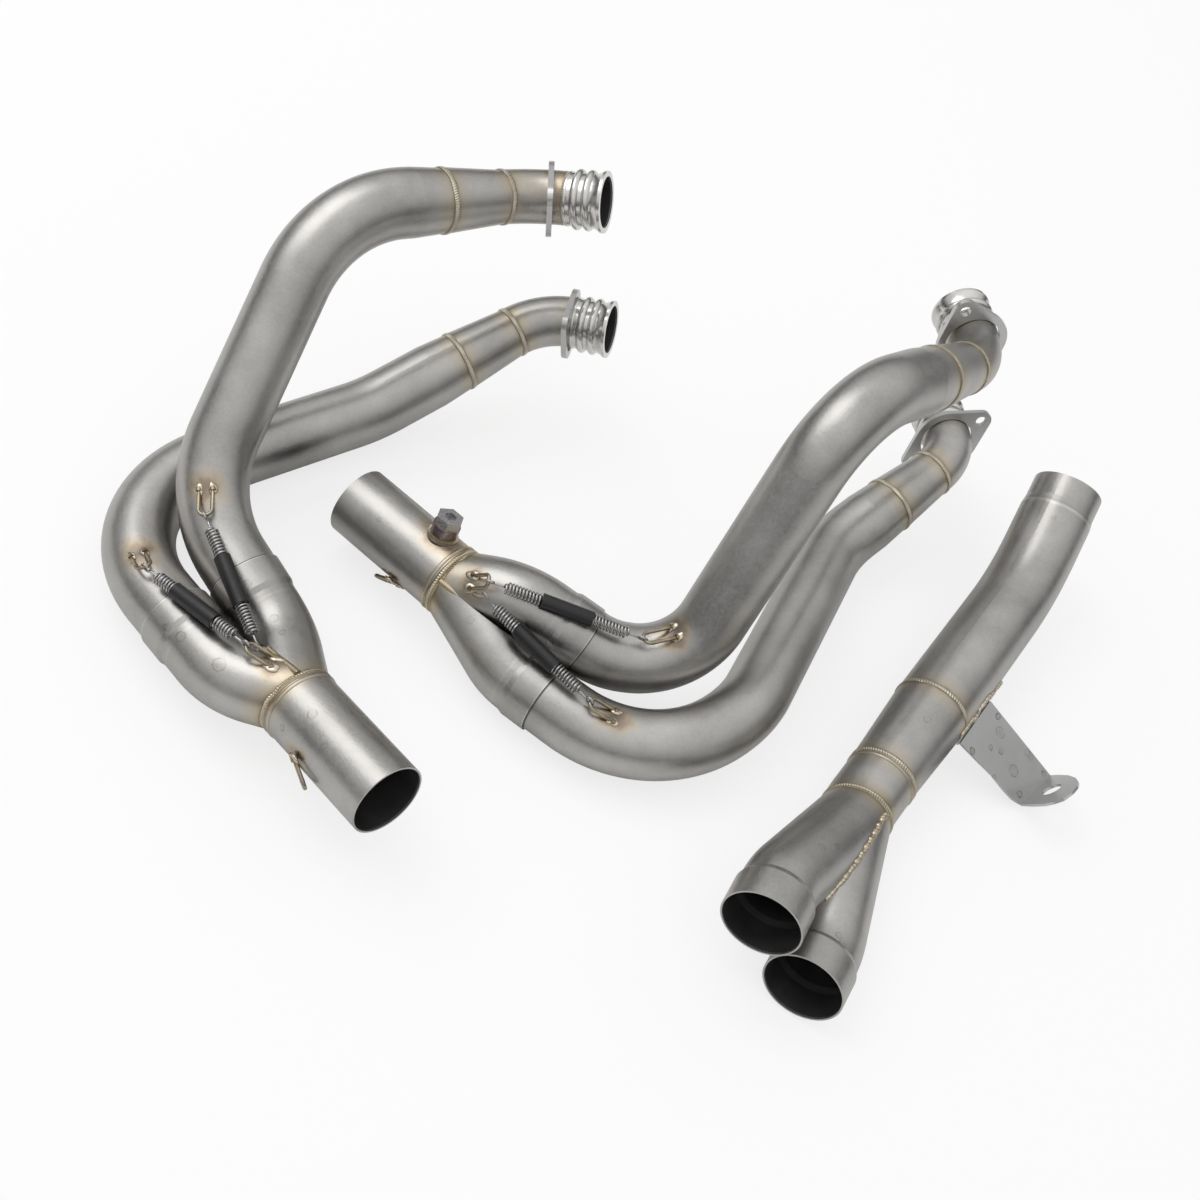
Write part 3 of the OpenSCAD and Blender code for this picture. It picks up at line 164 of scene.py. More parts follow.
def makeRoom():
    scene = bpy.context.scene
    scene.view_settings.view_transform = "Standard"
    world = bpy.data.worlds.new("paleRoom")
    world.use_nodes = True
    scene.world = world
    t = world.node_tree
    t.nodes.clear()
    where = t.nodes.new("ShaderNodeTexCoord")
    split = t.nodes.new("ShaderNodeSeparateXYZ")
    t.links.new(where.outputs["Generated"], split.inputs[0])
    sky = ramp(t, split.outputs["Z"], [(at, (v, v, v, 1)) for at, v in room["skyStops"]])
    light = t.nodes.new("ShaderNodeBackground")
    t.links.new(sky, light.inputs["Color"])
    white = t.nodes.new("ShaderNodeBackground")
    white.inputs["Color"].default_value = (1, 1, 1, 1)
    seen = t.nodes.new("ShaderNodeLightPath")
    mix = t.nodes.new("ShaderNodeMixShader")
    out = t.nodes.new("ShaderNodeOutputWorld")
    t.links.new(seen.outputs["Is Camera Ray"], mix.inputs[0])
    t.links.new(light.outputs[0], mix.inputs[1])
    t.links.new(white.outputs[0], mix.inputs[2])
    t.links.new(mix.outputs[0], out.inputs["Surface"])

    area = bpy.data.lights.new("softbox", "AREA")
    area.shape, area.size, area.energy = "SQUARE", room["softboxSide"], room["softboxPower"]
    lamp = bpy.data.objects.new("softbox", area)
    scene.collection.objects.link(lamp)
    lamp.location = room["softboxPlace"]
    lamp.rotation_euler = Vector(room["softboxPlace"]).to_track_quat("Z", "Y").to_euler()

    half = room["tableHalf"]
    mesh = bpy.data.meshes.new("tableTop")
    corners = [(-half, -half, 0), (half, -half, 0), (half, half, 0), (-half, half, 0)]
    mesh.from_pydata(corners, [], [(0, 1, 2, 3)])
    floor = bpy.data.objects.new("tableTop", mesh)
    scene.collection.objects.link(floor)
    mat = bpy.data.materials.new("paleTable")
    mat.use_nodes = True
    t = mat.node_tree
    t.nodes.clear()
    matt = t.nodes.new("ShaderNodeBsdfDiffuse")
    matt.inputs["Color"].default_value = room["floorColour"]
    glow = t.nodes.new("ShaderNodeEmission")
    seen = t.nodes.new("ShaderNodeLightPath")
    share = maths(t, "MULTIPLY", seen.outputs["Is Camera Ray"], 1 - room["shadowLeft"])
    mix = t.nodes.new("ShaderNodeMixShader")
    out = t.nodes.new("ShaderNodeOutputMaterial")
    t.links.new(share, mix.inputs[0])
    t.links.new(matt.outputs[0], mix.inputs[1])
    t.links.new(glow.outputs[0], mix.inputs[2])
    t.links.new(mix.outputs[0], out.inputs["Surface"])
    mesh.materials.append(mat)


# small helpers for shader nodes

def feed(tree, value, socket):
    # a socket is linked, anything else is set on the socket
    if isinstance(value, bpy.types.NodeSocket):
        tree.links.new(value, socket)
    elif value is not None:
        socket.default_value = value


def maths(tree, operation, a, b=None, c=None, clamp=False):
    n = tree.nodes.new("ShaderNodeMath")
    n.operation, n.use_clamp = operation, clamp
    for k, v in enumerate((a, b, c)):
        feed(tree, v, n.inputs[k])
    return n.outputs[0]


def vectors(tree, operation, a, b=None, scale=None):
    n = tree.nodes.new("ShaderNodeVectorMath")
    n.operation = operation
    feed(tree, a, n.inputs[0])
    feed(tree, b, n.inputs[1])
    feed(tree, scale, n.inputs[3])
    return n.outputs["Value" if operation in ("DOT_PRODUCT", "LENGTH", "DISTANCE") else "Vector"]


def ramp(tree, amount, stops):
    n = tree.nodes.new("ShaderNodeValToRGB")
    line = n.color_ramp.elements
    while len(line) < len(stops):
        line.new(0.5)
    for e, (at, colour) in zip(line, stops):
        e.position, e.color = at, colour
    feed(tree, amount, n.inputs["Fac"])
    return n.outputs["Color"]


def blendColours(tree, amount, a, b):
    n = tree.nodes.new("ShaderNodeMix")
    n.data_type = "RGBA"
    feed(tree, amount, n.inputs["Factor"])
    feed(tree, a, n.inputs[6])        # the colour sockets, which share their names with the others
    feed(tree, b, n.inputs[7])
    return n.outputs[2]


def noise(tree, vector, scale, detail=2.0, rough=0.5):
    n = tree.nodes.new("ShaderNodeTexNoise")
    feed(tree, vector, n.inputs["Vector"])
    n.inputs["Scale"].default_value = scale
    n.inputs["Detail"].default_value = detail
    n.inputs["Roughness"].default_value = rough
    return n.outputs["Fac"]


def between(tree, value, low, high, toLow=0.0, toHigh=1.0):
    n = tree.nodes.new("ShaderNodeMapRange")
    n.clamp = True
    feed(tree, value, n.inputs["Value"])
    for key, v in zip(("From Min", "From Max", "To Min", "To Max"), (low, high, toLow, toHigh)):
        n.inputs[key].default_value = v
    return n.outputs["Result"]


def startGroup(name, inputs, outputs):
    kinds = {"colour": "NodeSocketColor", "value": "NodeSocketFloat", "vector": "NodeSocketVector"}
    tree = bpy.data.node_groups.new(name, "ShaderNodeTree")
    for label, kind in inputs:
        tree.interface.new_socket(name=label, in_out="INPUT", socket_type=kinds[kind])
    for label, kind in outputs:
        tree.interface.new_socket(name=label, in_out="OUTPUT", socket_type=kinds[kind])
    return tree, tree.nodes.new("NodeGroupInput").outputs, tree.nodes.new("NodeGroupOutput").inputs


def useGroup(tree, group, **values):
    n = tree.nodes.new("ShaderNodeGroup")
    n.node_tree = group
    for label, v in values.items():
        feed(tree, v, n.inputs[label])
    return n.outputs


# shared surface effects, as node groups; distances in them are in millimetres

def steelGrainGroup():
    # satin steel: the light and dark tone are mixed by a soft cloud and a fine grain, dents and
    # handling marks darken it a little, and the grain also varies the roughness and the height
    tree, given, out = startGroup("steelGrain", [("Position", "vector"), ("Light", "colour"),
                                                 ("Dark", "colour"), ("Smoothness", "value")],
                                  [("Colour", "colour"), ("Roughness", "value"), ("Height", "value")])
    cloud = noise(tree, given["Position"], 16, 4, 0.6)
    grain = noise(tree, given["Position"], 520, 3, 0.6)
    tone = maths(tree, "ADD", between(tree, cloud, 0.3, 0.7, 0, 0.75),
                 between(tree, grain, 0.3, 0.7, 0, 0.25))
    base = blendColours(tree, tone, given["Dark"], given["Light"])
    marks = between(tree, noise(tree, given["Position"], 42, 2, 0.55), 0.6, 0.76, 0, 0.1)
    feed(tree, blendColours(tree, marks, base, (0.16, 0.15, 0.14, 1)), out["Colour"])
    rough = maths(tree, "ADD", between(tree, cloud, 0.3, 0.7, -0.035, 0.05), given["Smoothness"])
    feed(tree, maths(tree, "ADD", between(tree, grain, 0.3, 0.7, -0.05, 0.05), rough), out["Roughness"])
    height = maths(tree, "ADD", maths(tree, "MULTIPLY", grain, 0.25), maths(tree, "MULTIPLY", cloud, 0.3))
    feed(tree, height, out["Height"])
    return tree


def weldTintGroup():
    # a weld round a tube: the distance to the weld's plane, within reach of its centre, picks the
    # colour (pale bead, dark edge, brown, straw, then bare steel) and the angle round it makes ripples
    tree, given, out = startGroup("weldTint", [("Colour", "colour"), ("Height", "value"),
                                               ("Position", "vector"), ("Centre", "vector"),
                                               ("Axis", "vector"), ("Side", "vector"), ("Heat", "value"),
                                               ("Reach", "value")],
                                  [("Colour", "colour"), ("Height", "value")])
    arm = vectors(tree, "SUBTRACT", given["Position"], given["Centre"])
    along = maths(tree, "MULTIPLY", vectors(tree, "DOT_PRODUCT", arm, given["Axis"]), 1000)
    wander = between(tree, noise(tree, given["Position"], 110, 2), 0.3, 0.7, -0.5, 0.5)
    away = maths(tree, "ABSOLUTE", maths(tree, "ADD", along, wander))
    near = maths(tree, "LESS_THAN", vectors(tree, "LENGTH", arm), given["Reach"])
    patch = between(tree, noise(tree, given["Position"], 38, 3), 0.32, 0.62, 0.35, 1)
    tint = ramp(tree, maths(tree, "MULTIPLY", away, 1 / 16), [
        (0, (0.62, 0.57, 0.44, 1)), (0.09, (0.57, 0.50, 0.36, 1)), (0.115, (0.13, 0.095, 0.06, 1)),
        (0.145, (0.37, 0.27, 0.145, 1)), (0.3, (0.50, 0.41, 0.255, 1)), (1, (0.53, 0.48, 0.38, 1))])
    amount = ramp(tree, maths(tree, "MULTIPLY", away, 1 / 16), [
        (0, (0.9,) * 3 + (1,)), (0.2, (0.8,) * 3 + (1,)), (0.5, (0.5,) * 3 + (1,)), (1, (0, 0, 0, 1))])
    wash = maths(tree, "GREATER_THAN", away, 2.2)
    strength = maths(tree, "MULTIPLY", maths(tree, "MULTIPLY", amount, near), given["Heat"])
    strength = maths(tree, "MULTIPLY", strength, maths(tree, "SUBTRACT", 1, maths(
        tree, "MULTIPLY", wash, maths(tree, "SUBTRACT", 1, patch))), clamp=True)
    feed(tree, blendColours(tree, strength, given["Colour"], tint), out["Colour"])
    cross = vectors(tree, "CROSS_PRODUCT", given["Axis"], given["Side"])
    angle = maths(tree, "ARCTAN2", vectors(tree, "DOT_PRODUCT", arm, cross),
                  vectors(tree, "DOT_PRODUCT", arm, given["Side"]))
    ripple = maths(tree, "SINE", maths(tree, "MULTIPLY_ADD", angle, 84, maths(tree, "MULTIPLY", along, 1.1)))
    bead = maths(tree, "MULTIPLY", between(tree, away, 1.5, 2.1, 1, 0), near)
    waves = maths(tree, "MULTIPLY", ripple, bead)
    feed(tree, maths(tree, "MULTIPLY_ADD", waves, 0.55, given["Height"]), out["Height"])
    return tree


def spotTintGroup():
    # the heat stain round a hook's feet or a bung: the distance from a point picks the colour
    tree, given, out = startGroup("spotTint", [("Colour", "colour"), ("Position", "vector"),
                                               ("Centre", "vector"), ("Radius", "value"),
                                               ("Heat", "value")], [("Colour", "colour")])
    away = vectors(tree, "DISTANCE", given["Position"], given["Centre"])
    away = maths(tree, "DIVIDE", away, given["Radius"])
    blur = between(tree, noise(tree, given["Position"], 75, 3), 0.3, 0.7, -0.22, 0.22)
    away = maths(tree, "ADD", away, blur)
    tint = ramp(tree, away, [(0, (0.1, 0.075, 0.055, 1)), (0.42, (0.27, 0.185, 0.11, 1)),
                             (0.62, (0.46, 0.35, 0.2, 1)), (1, (0.55, 0.5, 0.4, 1))])
    amount = ramp(tree, away, [(0, (0.9,) * 3 + (1,)), (0.45, (0.75,) * 3 + (1,)),
                               (0.72, (0.4,) * 3 + (1,)), (1, (0, 0, 0, 1))])
    strength = maths(tree, "MULTIPLY", amount, given["Heat"], clamp=True)
    feed(tree, blendColours(tree, strength, given["Colour"], tint), out["Colour"])
    return tree


def boreShadeGroup():
    # painted shade inside an open end: where the surface faces its own axis, near the mouth, it is painted
    # near black, rough and not metal
    tree, given, out = startGroup("mouthBoreShade", [("Colour", "colour"), ("Roughness", "value"),
                                                ("Position", "vector"), ("Normal", "vector"),
                                                ("Centre", "vector"), ("Axis", "vector"),
                                                ("Reach", "value")],
                                  [("Colour", "colour"), ("Roughness", "value"), ("Metal", "value")])
    arm = vectors(tree, "SUBTRACT", given["Position"], given["Centre"])
    along = vectors(tree, "DOT_PRODUCT", arm, given["Axis"])
    away = vectors(tree, "NORMALIZE", vectors(tree, "SUBTRACT", arm, vectors(
        tree, "SCALE", given["Axis"], scale=along)))
    facing = between(tree, vectors(tree, "DOT_PRODUCT", given["Normal"], away), -0.6, -0.3, 1, 0)
    near = maths(tree, "LESS_THAN", vectors(tree, "LENGTH", arm), given["Reach"])
    edge = between(tree, maths(tree, "MULTIPLY", along, -1000), 0.4, 1.6, 0, 1)
    inside = maths(tree, "MULTIPLY", maths(tree, "MULTIPLY", facing, near), edge)
    shadeMottle = between(tree, noise(tree, given["Position"], 60, 3), 0.35, 0.7, 0, 1)
    boreShade = blendColours(tree, shadeMottle, (0.012, 0.011, 0.011, 1), (0.03, 0.028, 0.027, 1))
    feed(tree, blendColours(tree, inside, given["Colour"], boreShade), out["Colour"])
    feed(tree, maths(tree, "MULTIPLY_ADD", inside, maths(tree, "SUBTRACT", 0.7, given["Roughness"]),
                     given["Roughness"]), out["Roughness"])
    feed(tree, maths(tree, "SUBTRACT", 1, inside), out["Metal"])
    return tree


def ringMarkGroup():
    # a small ring with a faint core, such as a tool or tack mark: the distance from a point, less the
    # ring's radius, gives the line, and a noise breaks it up
    tree, given, out = startGroup("ringMark", [("Colour", "colour"), ("Position", "vector"),
                                               ("Centre", "vector"), ("Radius", "value"),
                                               ("Amount", "value")], [("Colour", "colour")])
    away = maths(tree, "MULTIPLY", vectors(tree, "DISTANCE", given["Position"], given["Centre"]), 1000)
    wobble = between(tree, noise(tree, given["Position"], 400, 2), 0.3, 0.7, -0.45, 0.45)
    bent = maths(tree, "ADD", away, wobble)
    offLine = maths(tree, "ABSOLUTE", maths(tree, "SUBTRACT", bent, given["Radius"]))
    line = between(tree, offLine, 0.2, 0.75, 1, 0)
    share = maths(tree, "DIVIDE", bent, given["Radius"])
    core = maths(tree, "MULTIPLY", between(tree, share, 0.5, 1, 1, 0), 0.35)
    worn = between(tree, noise(tree, given["Position"], 230, 2), 0.4, 0.55, 0.3, 1)
    seen = maths(tree, "MULTIPLY", maths(tree, "MAXIMUM", line, core), worn)
    amount = maths(tree, "MULTIPLY", seen, given["Amount"])
    feed(tree, blendColours(tree, amount, given["Colour"], (0.17, 0.15, 0.13, 1)), out["Colour"])
    return tree


def paintedLineGroup():
    # a painted highlight or shade line round a tube, at the lip of a slip joint or the step of a swaged end:
    # the distance along the axis from the offset, over the width, fades the tone out, within reach of the
    # centre
    tree, given, out = startGroup("paintedLightLine", [("Colour", "colour"), ("Position", "vector"),
                                               ("Centre", "vector"), ("Axis", "vector"),
                                               ("Offset", "value"), ("Width", "value"),
                                               ("Tone", "colour"), ("Amount", "value")],
                                  [("Colour", "colour")])
    arm = vectors(tree, "SUBTRACT", given["Position"], given["Centre"])
    along = maths(tree, "MULTIPLY", vectors(tree, "DOT_PRODUCT", arm, given["Axis"]), 1000)
    away = maths(tree, "ABSOLUTE", maths(tree, "SUBTRACT", along, given["Offset"]))
    away = maths(tree, "DIVIDE", away, given["Width"])
    near = maths(tree, "LESS_THAN", vectors(tree, "LENGTH", arm), 0.045)
    line = maths(tree, "MULTIPLY", between(tree, away, 0.4, 1, 1, 0), near)
    amount = maths(tree, "MULTIPLY", line, given["Amount"])
    feed(tree, blendColours(tree, amount, given["Colour"], given["Tone"]), out["Colour"])
    return tree


# materials
steel = {
    "light": (0.52, 0.508, 0.49, 1), "dark": (0.31, 0.3, 0.287, 1), "roughness": 0.35,
    "turnedLight": (0.72, 0.71, 0.69, 1), "turnedDark": (0.56, 0.55, 0.53, 1), "turnedRoughness": 0.2,
    "sheetLight": (0.60, 0.60, 0.595, 1), "sheetDark": (0.50, 0.50, 0.495, 1), "sheetRoughness": 0.36,
    "wireLight": (0.42, 0.37, 0.29, 1), "wireDark": (0.20, 0.17, 0.13, 1), "wireRoughness": 0.28,
    "springLight": (0.52, 0.51, 0.5, 1), "springDark": (0.3, 0.295, 0.285, 1), "springRoughness": 0.25,
    "bumpDepth": 0.0006,
}
# how strongly a weld's heat shows, by where it is
heat = {"left": 1.0, "right": 1.15, "cone": 0.8, "elbow": 0.75, "collar": 0.6, "strip": 0.5, "link": 0.75,
        "linkRing": 0.9, "bung": 0.9}
# round stains: radius in m and strength, and before them the place in mm where no hook gives it
stains = {"outletHook": (0.015, 0.7), "armHook": (0.017, 0.85), "pipeHook": (0.017, 0.9),
          "hookWire": (0.013, 0.8), "bung": ((-135.3, -57.3, 68.0), 0.026, 0.8),
          "elbow": ((-160.0, 176.0, 190.0), 0.034, 0.55)}
# how far into an open end the painted shade goes, in m
boreShadeReaches = {"outlet": 0.096, "arm": 0.028, "port": 0.04, "link": 0.06, "inlet": 0.07}


def metres(point):
    return tuple(v * mm for v in point)


def at(place):
    centre, axis = places[place]
    return metres(centre), axis


def sideOf(axis):
    # any direction square to the axis
    v = Vector(axis).cross(Vector((0.31, 0.52, 0.79)))
    return tuple(v.normalized())


def metalMaterial(name, light, dark, rough, welds=(), spots=(), mouth=None, paintedLines=(), dirt=None,
                  boreShadeReach=0, rings=()):
    # bare metal: the grain, then its painted highlight and shade lines, stains, welds, marks and the painted
    # shade inside an open end, one group after the other
    mat = bpy.data.materials.new(name)
    mat.use_nodes = True
    t = mat.node_tree
    bsdf = t.nodes["Principled BSDF"]
    where = t.nodes.new("ShaderNodeTexCoord").outputs["Object"]
    base = useGroup(t, groups["grain"], Position=where, Light=light, Dark=dark, Smoothness=rough)
    colour, roughness, height = base["Colour"], base["Roughness"], base["Height"]
    # painted highlight and shade lines round the tube
    for place, offset, width, tone, amount in paintedLines:
        centre, axis = at(place)
        colour = useGroup(t, groups["line"], Colour=colour, Position=where, Centre=centre, Axis=axis,
                          Offset=offset, Width=width, Tone=tone, Amount=amount)["Colour"]
    if dirt:
        centre, radius, strength = dirt
        colour = useGroup(t, groups["spot"], Colour=colour, Position=where, Centre=centre, Radius=radius,
                          Heat=strength)["Colour"]
    for place, warm in welds:
        centre, axis = at(place)
        put = useGroup(t, groups["weld"], Colour=colour, Height=height, Position=where, Centre=centre,
                       Axis=axis, Side=sideOf(axis), Heat=warm, Reach=0.05)
        colour, height = put["Colour"], put["Height"]
    for centre, radius, warm in spots:
        colour = useGroup(t, groups["spot"], Colour=colour, Position=where, Centre=centre, Radius=radius,
                          Heat=warm)["Colour"]
    for centre, radius, amount in rings:
        colour = useGroup(t, groups["ring"], Colour=colour, Position=where, Centre=metres(centre),
                          Radius=radius, Amount=amount)["Colour"]
    # painted shade inside the open end
    if mouth:
        centre, axis = at(mouth)
        facing = t.nodes.new("ShaderNodeTexCoord").outputs["Normal"]
        put = useGroup(t, groups["boreShade"], Colour=colour, Roughness=roughness, Position=where, Normal=facing,
                       Centre=centre, Axis=axis, Reach=boreShadeReach)
        colour, roughness = put["Colour"], put["Roughness"]
        feed(t, put["Metal"], bsdf.inputs["Metallic"])
    else:
        bsdf.inputs["Metallic"].default_value = 1.0
    bump = t.nodes.new("ShaderNodeBump")
    bump.inputs["Strength"].default_value = 0.55
    bump.inputs["Distance"].default_value = steel["bumpDepth"]
    feed(t, height, bump.inputs["Height"])
    feed(t, colour, bsdf.inputs["Base Color"])
    feed(t, roughness, bsdf.inputs["Roughness"])
    feed(t, bump.outputs["Normal"], bsdf.inputs["Normal"])
    return mat


def rubberMaterial():
    # black rubber hose: a faint cloud in its colour and a fine dusty grain in its height
    mat = bpy.data.materials.new("sleeveRubber")
    mat.use_nodes = True
    t = mat.node_tree
    bsdf = t.nodes["Principled BSDF"]
    where = t.nodes.new("ShaderNodeTexCoord").outputs["Object"]
    cloud = noise(t, where, 120, 3)
    tone = blendColours(t, cloud, (0.004, 0.004, 0.0045, 1), (0.009, 0.009, 0.0095, 1))
    feed(t, tone, bsdf.inputs["Base Color"])
    feed(t, between(t, cloud, 0.3, 0.7, 0.36, 0.5), bsdf.inputs["Roughness"])
    bump = t.nodes.new("ShaderNodeBump")
    bump.inputs["Strength"].default_value = 0.3
    bump.inputs["Distance"].default_value = 0.0003
    feed(t, noise(t, where, 900, 2), bump.inputs["Height"])
    feed(t, bump.outputs["Normal"], bsdf.inputs["Normal"])
    return mat


def paint(node, mat):
    nodes[node].data.materials.clear()
    nodes[node].data.materials.append(mat)


def hookFeet(name):
    # the two leg ends: the bow's frame, then rise and drop towards the tube, hook width across it and
    # hook length along it; the normal at a foot points from the tube's axis to it
    bow, out, along, radius, rise, skew = hooks[name]
    x, z = -np.array(out), np.array(along)
    y = np.cross(z, x)
    half = hookSizes["width"] / 2
    drop = radius - math.sqrt(radius ** 2 - half ** 2)
    feet = []
    turn = Matrix.Rotation(math.radians(skew), 3, "X")
    for k in (-1, 1):
        local = turn @ Vector((rise + drop, k * half, hookSizes["length"]))
        point = np.array(bow) + local[0] * x + local[1] * y + local[2] * z
        normal = (drop - radius) * x + k * half * y
        feet.append((point * mm, normal / np.linalg.norm(normal), z))
    return feet


hookSizes = {"width": 9, "length": 18, "puddleLong": 4.6, "puddleWide": 3.0, "puddleHigh": 1.5,
             "armGrowth": 1.2}
# tones of the painted lines: a painted shadow in a slip joint, a painted highlight on a lip or step, and a
# painted shade beside a step
paintedTones = {"slip": (0.09, 0.085, 0.08, 1), "highlight": (0.68, 0.67, 0.65, 1), "stepShade": (0.30, 0.285, 0.265, 1)}


def feetSpot(hook, stain):
    # a stain half way between a hook's feet
    feet = hookFeet(hook)
    return (tuple((feet[0][0] + feet[1][0]) / 2), *stain)


def paintSteel():
    # every imported node but the springs gets a material, its own but for the rubber, with the welds, stains
    # and marks that lie on it
    light, dark, rough = steel["light"], steel["dark"], steel["roughness"]
    sheet = steel["sheetLight"], steel["sheetDark"], steel["sheetRoughness"]

    for side in ("left", "right"):
        ring = [(side + "Ring", heat[side])]
        spots = [feetSpot(side + "_outlet_hook", stains["outletHook"])]
        if side == "right":
            place, *stain = stains["bung"]
            spots.append((metres(place), *stain))
        # the outlet gets painted shade inside its open end
        paint(side + "_outlet", metalMaterial(
            side + "OutletSteel", light, dark, rough, ring, spots, mouth=side + "End",
            boreShadeReach=boreShadeReaches["outlet"], rings=marks[side + "_outlet"]))
        for i in ("1", "2"):
            mouth = side + "Mouth" + i
            # the arm gets painted shade inside its mouth, a painted highlight on its lip and a faint painted
            # highlight at its step
            paint(f"{side}_arm_{i}", metalMaterial(
                side + "ArmSteel" + i, light, dark, rough, ring,
                [feetSpot(f"{side}_arm_hook_{i}", stains["armHook"])], mouth=mouth,
                boreShadeReach=boreShadeReaches["arm"], rings=marks.get(f"{side}_arm_{i}", ()),
                paintedLines=[(mouth, 0, 0.6, paintedTones["highlight"], 0.8), (mouth, -27, 1.3, paintedTones["highlight"], 0.12)]))
            # the pipe gets a painted shadow where it goes into the arm's mouth
            paint(f"{side}_pipe_{i}", metalMaterial(
                side + "PipeSteel" + i, light, dark, rough, [(side + "Cone" + i, heat["cone"])],
                [feetSpot(f"{side}_pipe_hook_{i}", stains["pipeHook"])],
                rings=marks.get(f"{side}_pipe_{i}", ()),
                paintedLines=[(mouth, 0.6, 0.9, paintedTones["slip"], 0.85)]))
            paint(f"{side}_cone_{i}", metalMaterial(
                side + "ConeSteel" + i, light, dark, rough,
                [(side + "Cone" + i, heat["cone"]), (side + "Elbow" + i, heat["elbow"])]))
            place, *stain = stains["elbow"]
            patch = (metres(place), *stain) if side == "left" and i == "1" else None
            paint(f"{side}_elbow_{i}", metalMaterial(
                side + "StubSteel" + i, light, dark, rough,
                [(side + "Elbow" + i, heat["elbow"]), (side + "Collar" + i, heat["collar"])], dirt=patch))
            # the collar gets painted shade inside its port
            paint(f"{side}_collar_{i}", metalMaterial(
                side + "CollarSteel" + i, steel["turnedLight"], steel["turnedDark"], steel["turnedRoughness"],
                mouth=side + "Port" + i, boreShadeReach=boreShadeReaches["port"]))
            paint(f"{side}_flange_{i}", metalMaterial(side + "FlangePlate" + i, *sheet))
            for part in ("pipe", "arm"):
                paintHook(f"{side}_{part}_hook_{i}")
            paint(f"{side}_rubber_{i}", finishes["rubber"])
        paintHook(side + "_outlet_hook")
        paint(side + "_crotch_strip", metalMaterial(
            side + "CrotchWeld", (0.62, 0.55, 0.40, 1), (0.33, 0.25, 0.15, 1), 0.3,
            [(side + "Ring", heat["strip"])]))

    # the link pipe gets painted shade inside its end, and a painted highlight and a painted shade at the step
    # of its swaged end
    paint("link_main", metalMaterial(
        "linkPipeSteel", light, dark, rough, [("linkCone", heat["link"])], mouth="linkEnd",
        boreShadeReach=boreShadeReaches["link"], rings=marks["link_main"],
        paintedLines=[("linkEnd", -25, 1.6, paintedTones["highlight"], 0.4), ("linkEnd", -22.5, 1.2, paintedTones["stepShade"], 0.45)]))
    paint("link_cone", metalMaterial(
        "linkConeSteel", light, dark, rough, [("linkCone", heat["link"]), ("linkNeck", heat["link"])],
        rings=marks["link_cone"]))
    paint("link_neck", metalMaterial(
        "linkNeckSteel", light, dark, rough, [("linkNeck", heat["link"]), ("linkRing", heat["linkRing"])]))
    for i in ("1", "2"):
        mouth = "linkMouth" + i
        # each inlet gets painted shade inside its mouth and a faint painted highlight at its step
        paint("link_inlet_" + i, metalMaterial(
            "linkInletSteel" + i, light, dark, rough, [("linkRing", heat["linkRing"])], mouth=mouth,
            boreShadeReach=boreShadeReaches["inlet"], rings=marks["link_inlet_" + i],
            paintedLines=[(mouth, -24, 1.3, paintedTones["highlight"], 0.12)]))
    b = bracket
    onPlate = [(np.array(b["corner"]) + x * np.array(b["along"]) + z * np.array(b["across"])
                + b["halfSheet"] * np.array(b["face"]), r, amount)
               for x, z, r, amount in b["rings"] + b["smudges"]]
    paint("link_bracket", metalMaterial("bracketSheet", *sheet, rings=onPlate))
    paint("right_bung", metalMaterial("bungSteel", (0.2, 0.17, 0.25, 1), (0.08, 0.06, 0.11, 1), 0.24,
                                      [("bungFoot", heat["bung"])]))
    paint("right_plug", metalMaterial("plugSteel", (0.6, 0.59, 0.6, 1), (0.42, 0.415, 0.42, 1), 0.25))


def paintHook(node):
    paint(node, metalMaterial(node.replace("_", "-") + "-wire", steel["wireLight"], steel["wireDark"],
                              steel["wireRoughness"], spots=[feetSpot(node, stains["hookWire"])]))


# new pieces, as numpy surfaces

def makePiece(name, points, faces, mat, smooth=True):
    # a mesh in place, with its object at the origin, that rides on the one body
    mesh = bpy.data.meshes.new(name)
    mesh.from_pydata(points.tolist(), [], faces)
    mesh.polygons.foreach_set("use_smooth", np.full(len(mesh.polygons), smooth))
    mesh.materials.append(mat)
    mesh.update()
    piece = bpy.data.objects.new(name, mesh)
    bpy.context.scene.collection.objects.link(piece)
    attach(piece, "root")
    return piece


def gridFaces(rows, columns):
    # quads of a grid that closes round its columns
    i, j = np.meshgrid(np.arange(rows - 1), np.arange(columns), indexing="ij")
    a = i * columns + j
    b = i * columns + (j + 1) % columns
    return np.stack([a, b, b + columns, a + columns], -1).reshape(-1, 4)


def tubeAlong(path, radii, sides):
    # a round profile carried along a path without twist: each ring is the path point plus radius times
    # cos and sin round the carried side vector and its cross with the tangent; flat caps close the ends
    tangent = np.gradient(path, axis=0)
    tangent /= np.linalg.norm(tangent, axis=1)[:, None]
    side = np.zeros_like(path)
    v = np.cross(tangent[0], (0.3, 0.5, 0.81))
    for k, t in enumerate(tangent):       # one step per ring, each carried on from the last
        v = v - (v @ t) * t
        v /= np.linalg.norm(v)
        side[k] = v
    other = np.cross(tangent, side)
    angle = np.linspace(0, 2 * np.pi, sides, endpoint=False)
    ring = np.cos(angle)[None, :, None] * side[:, None] + np.sin(angle)[None, :, None] * other[:, None]
    points = (path[:, None] + np.broadcast_to(radii, len(path))[:, None, None] * ring).reshape(-1, 3)
    faces = gridFaces(len(path), sides).tolist()
    last = (len(path) - 1) * sides
    faces.append(list(range(sides))[::-1])
    faces.append([last + k for k in range(sides)])
    return points, faces


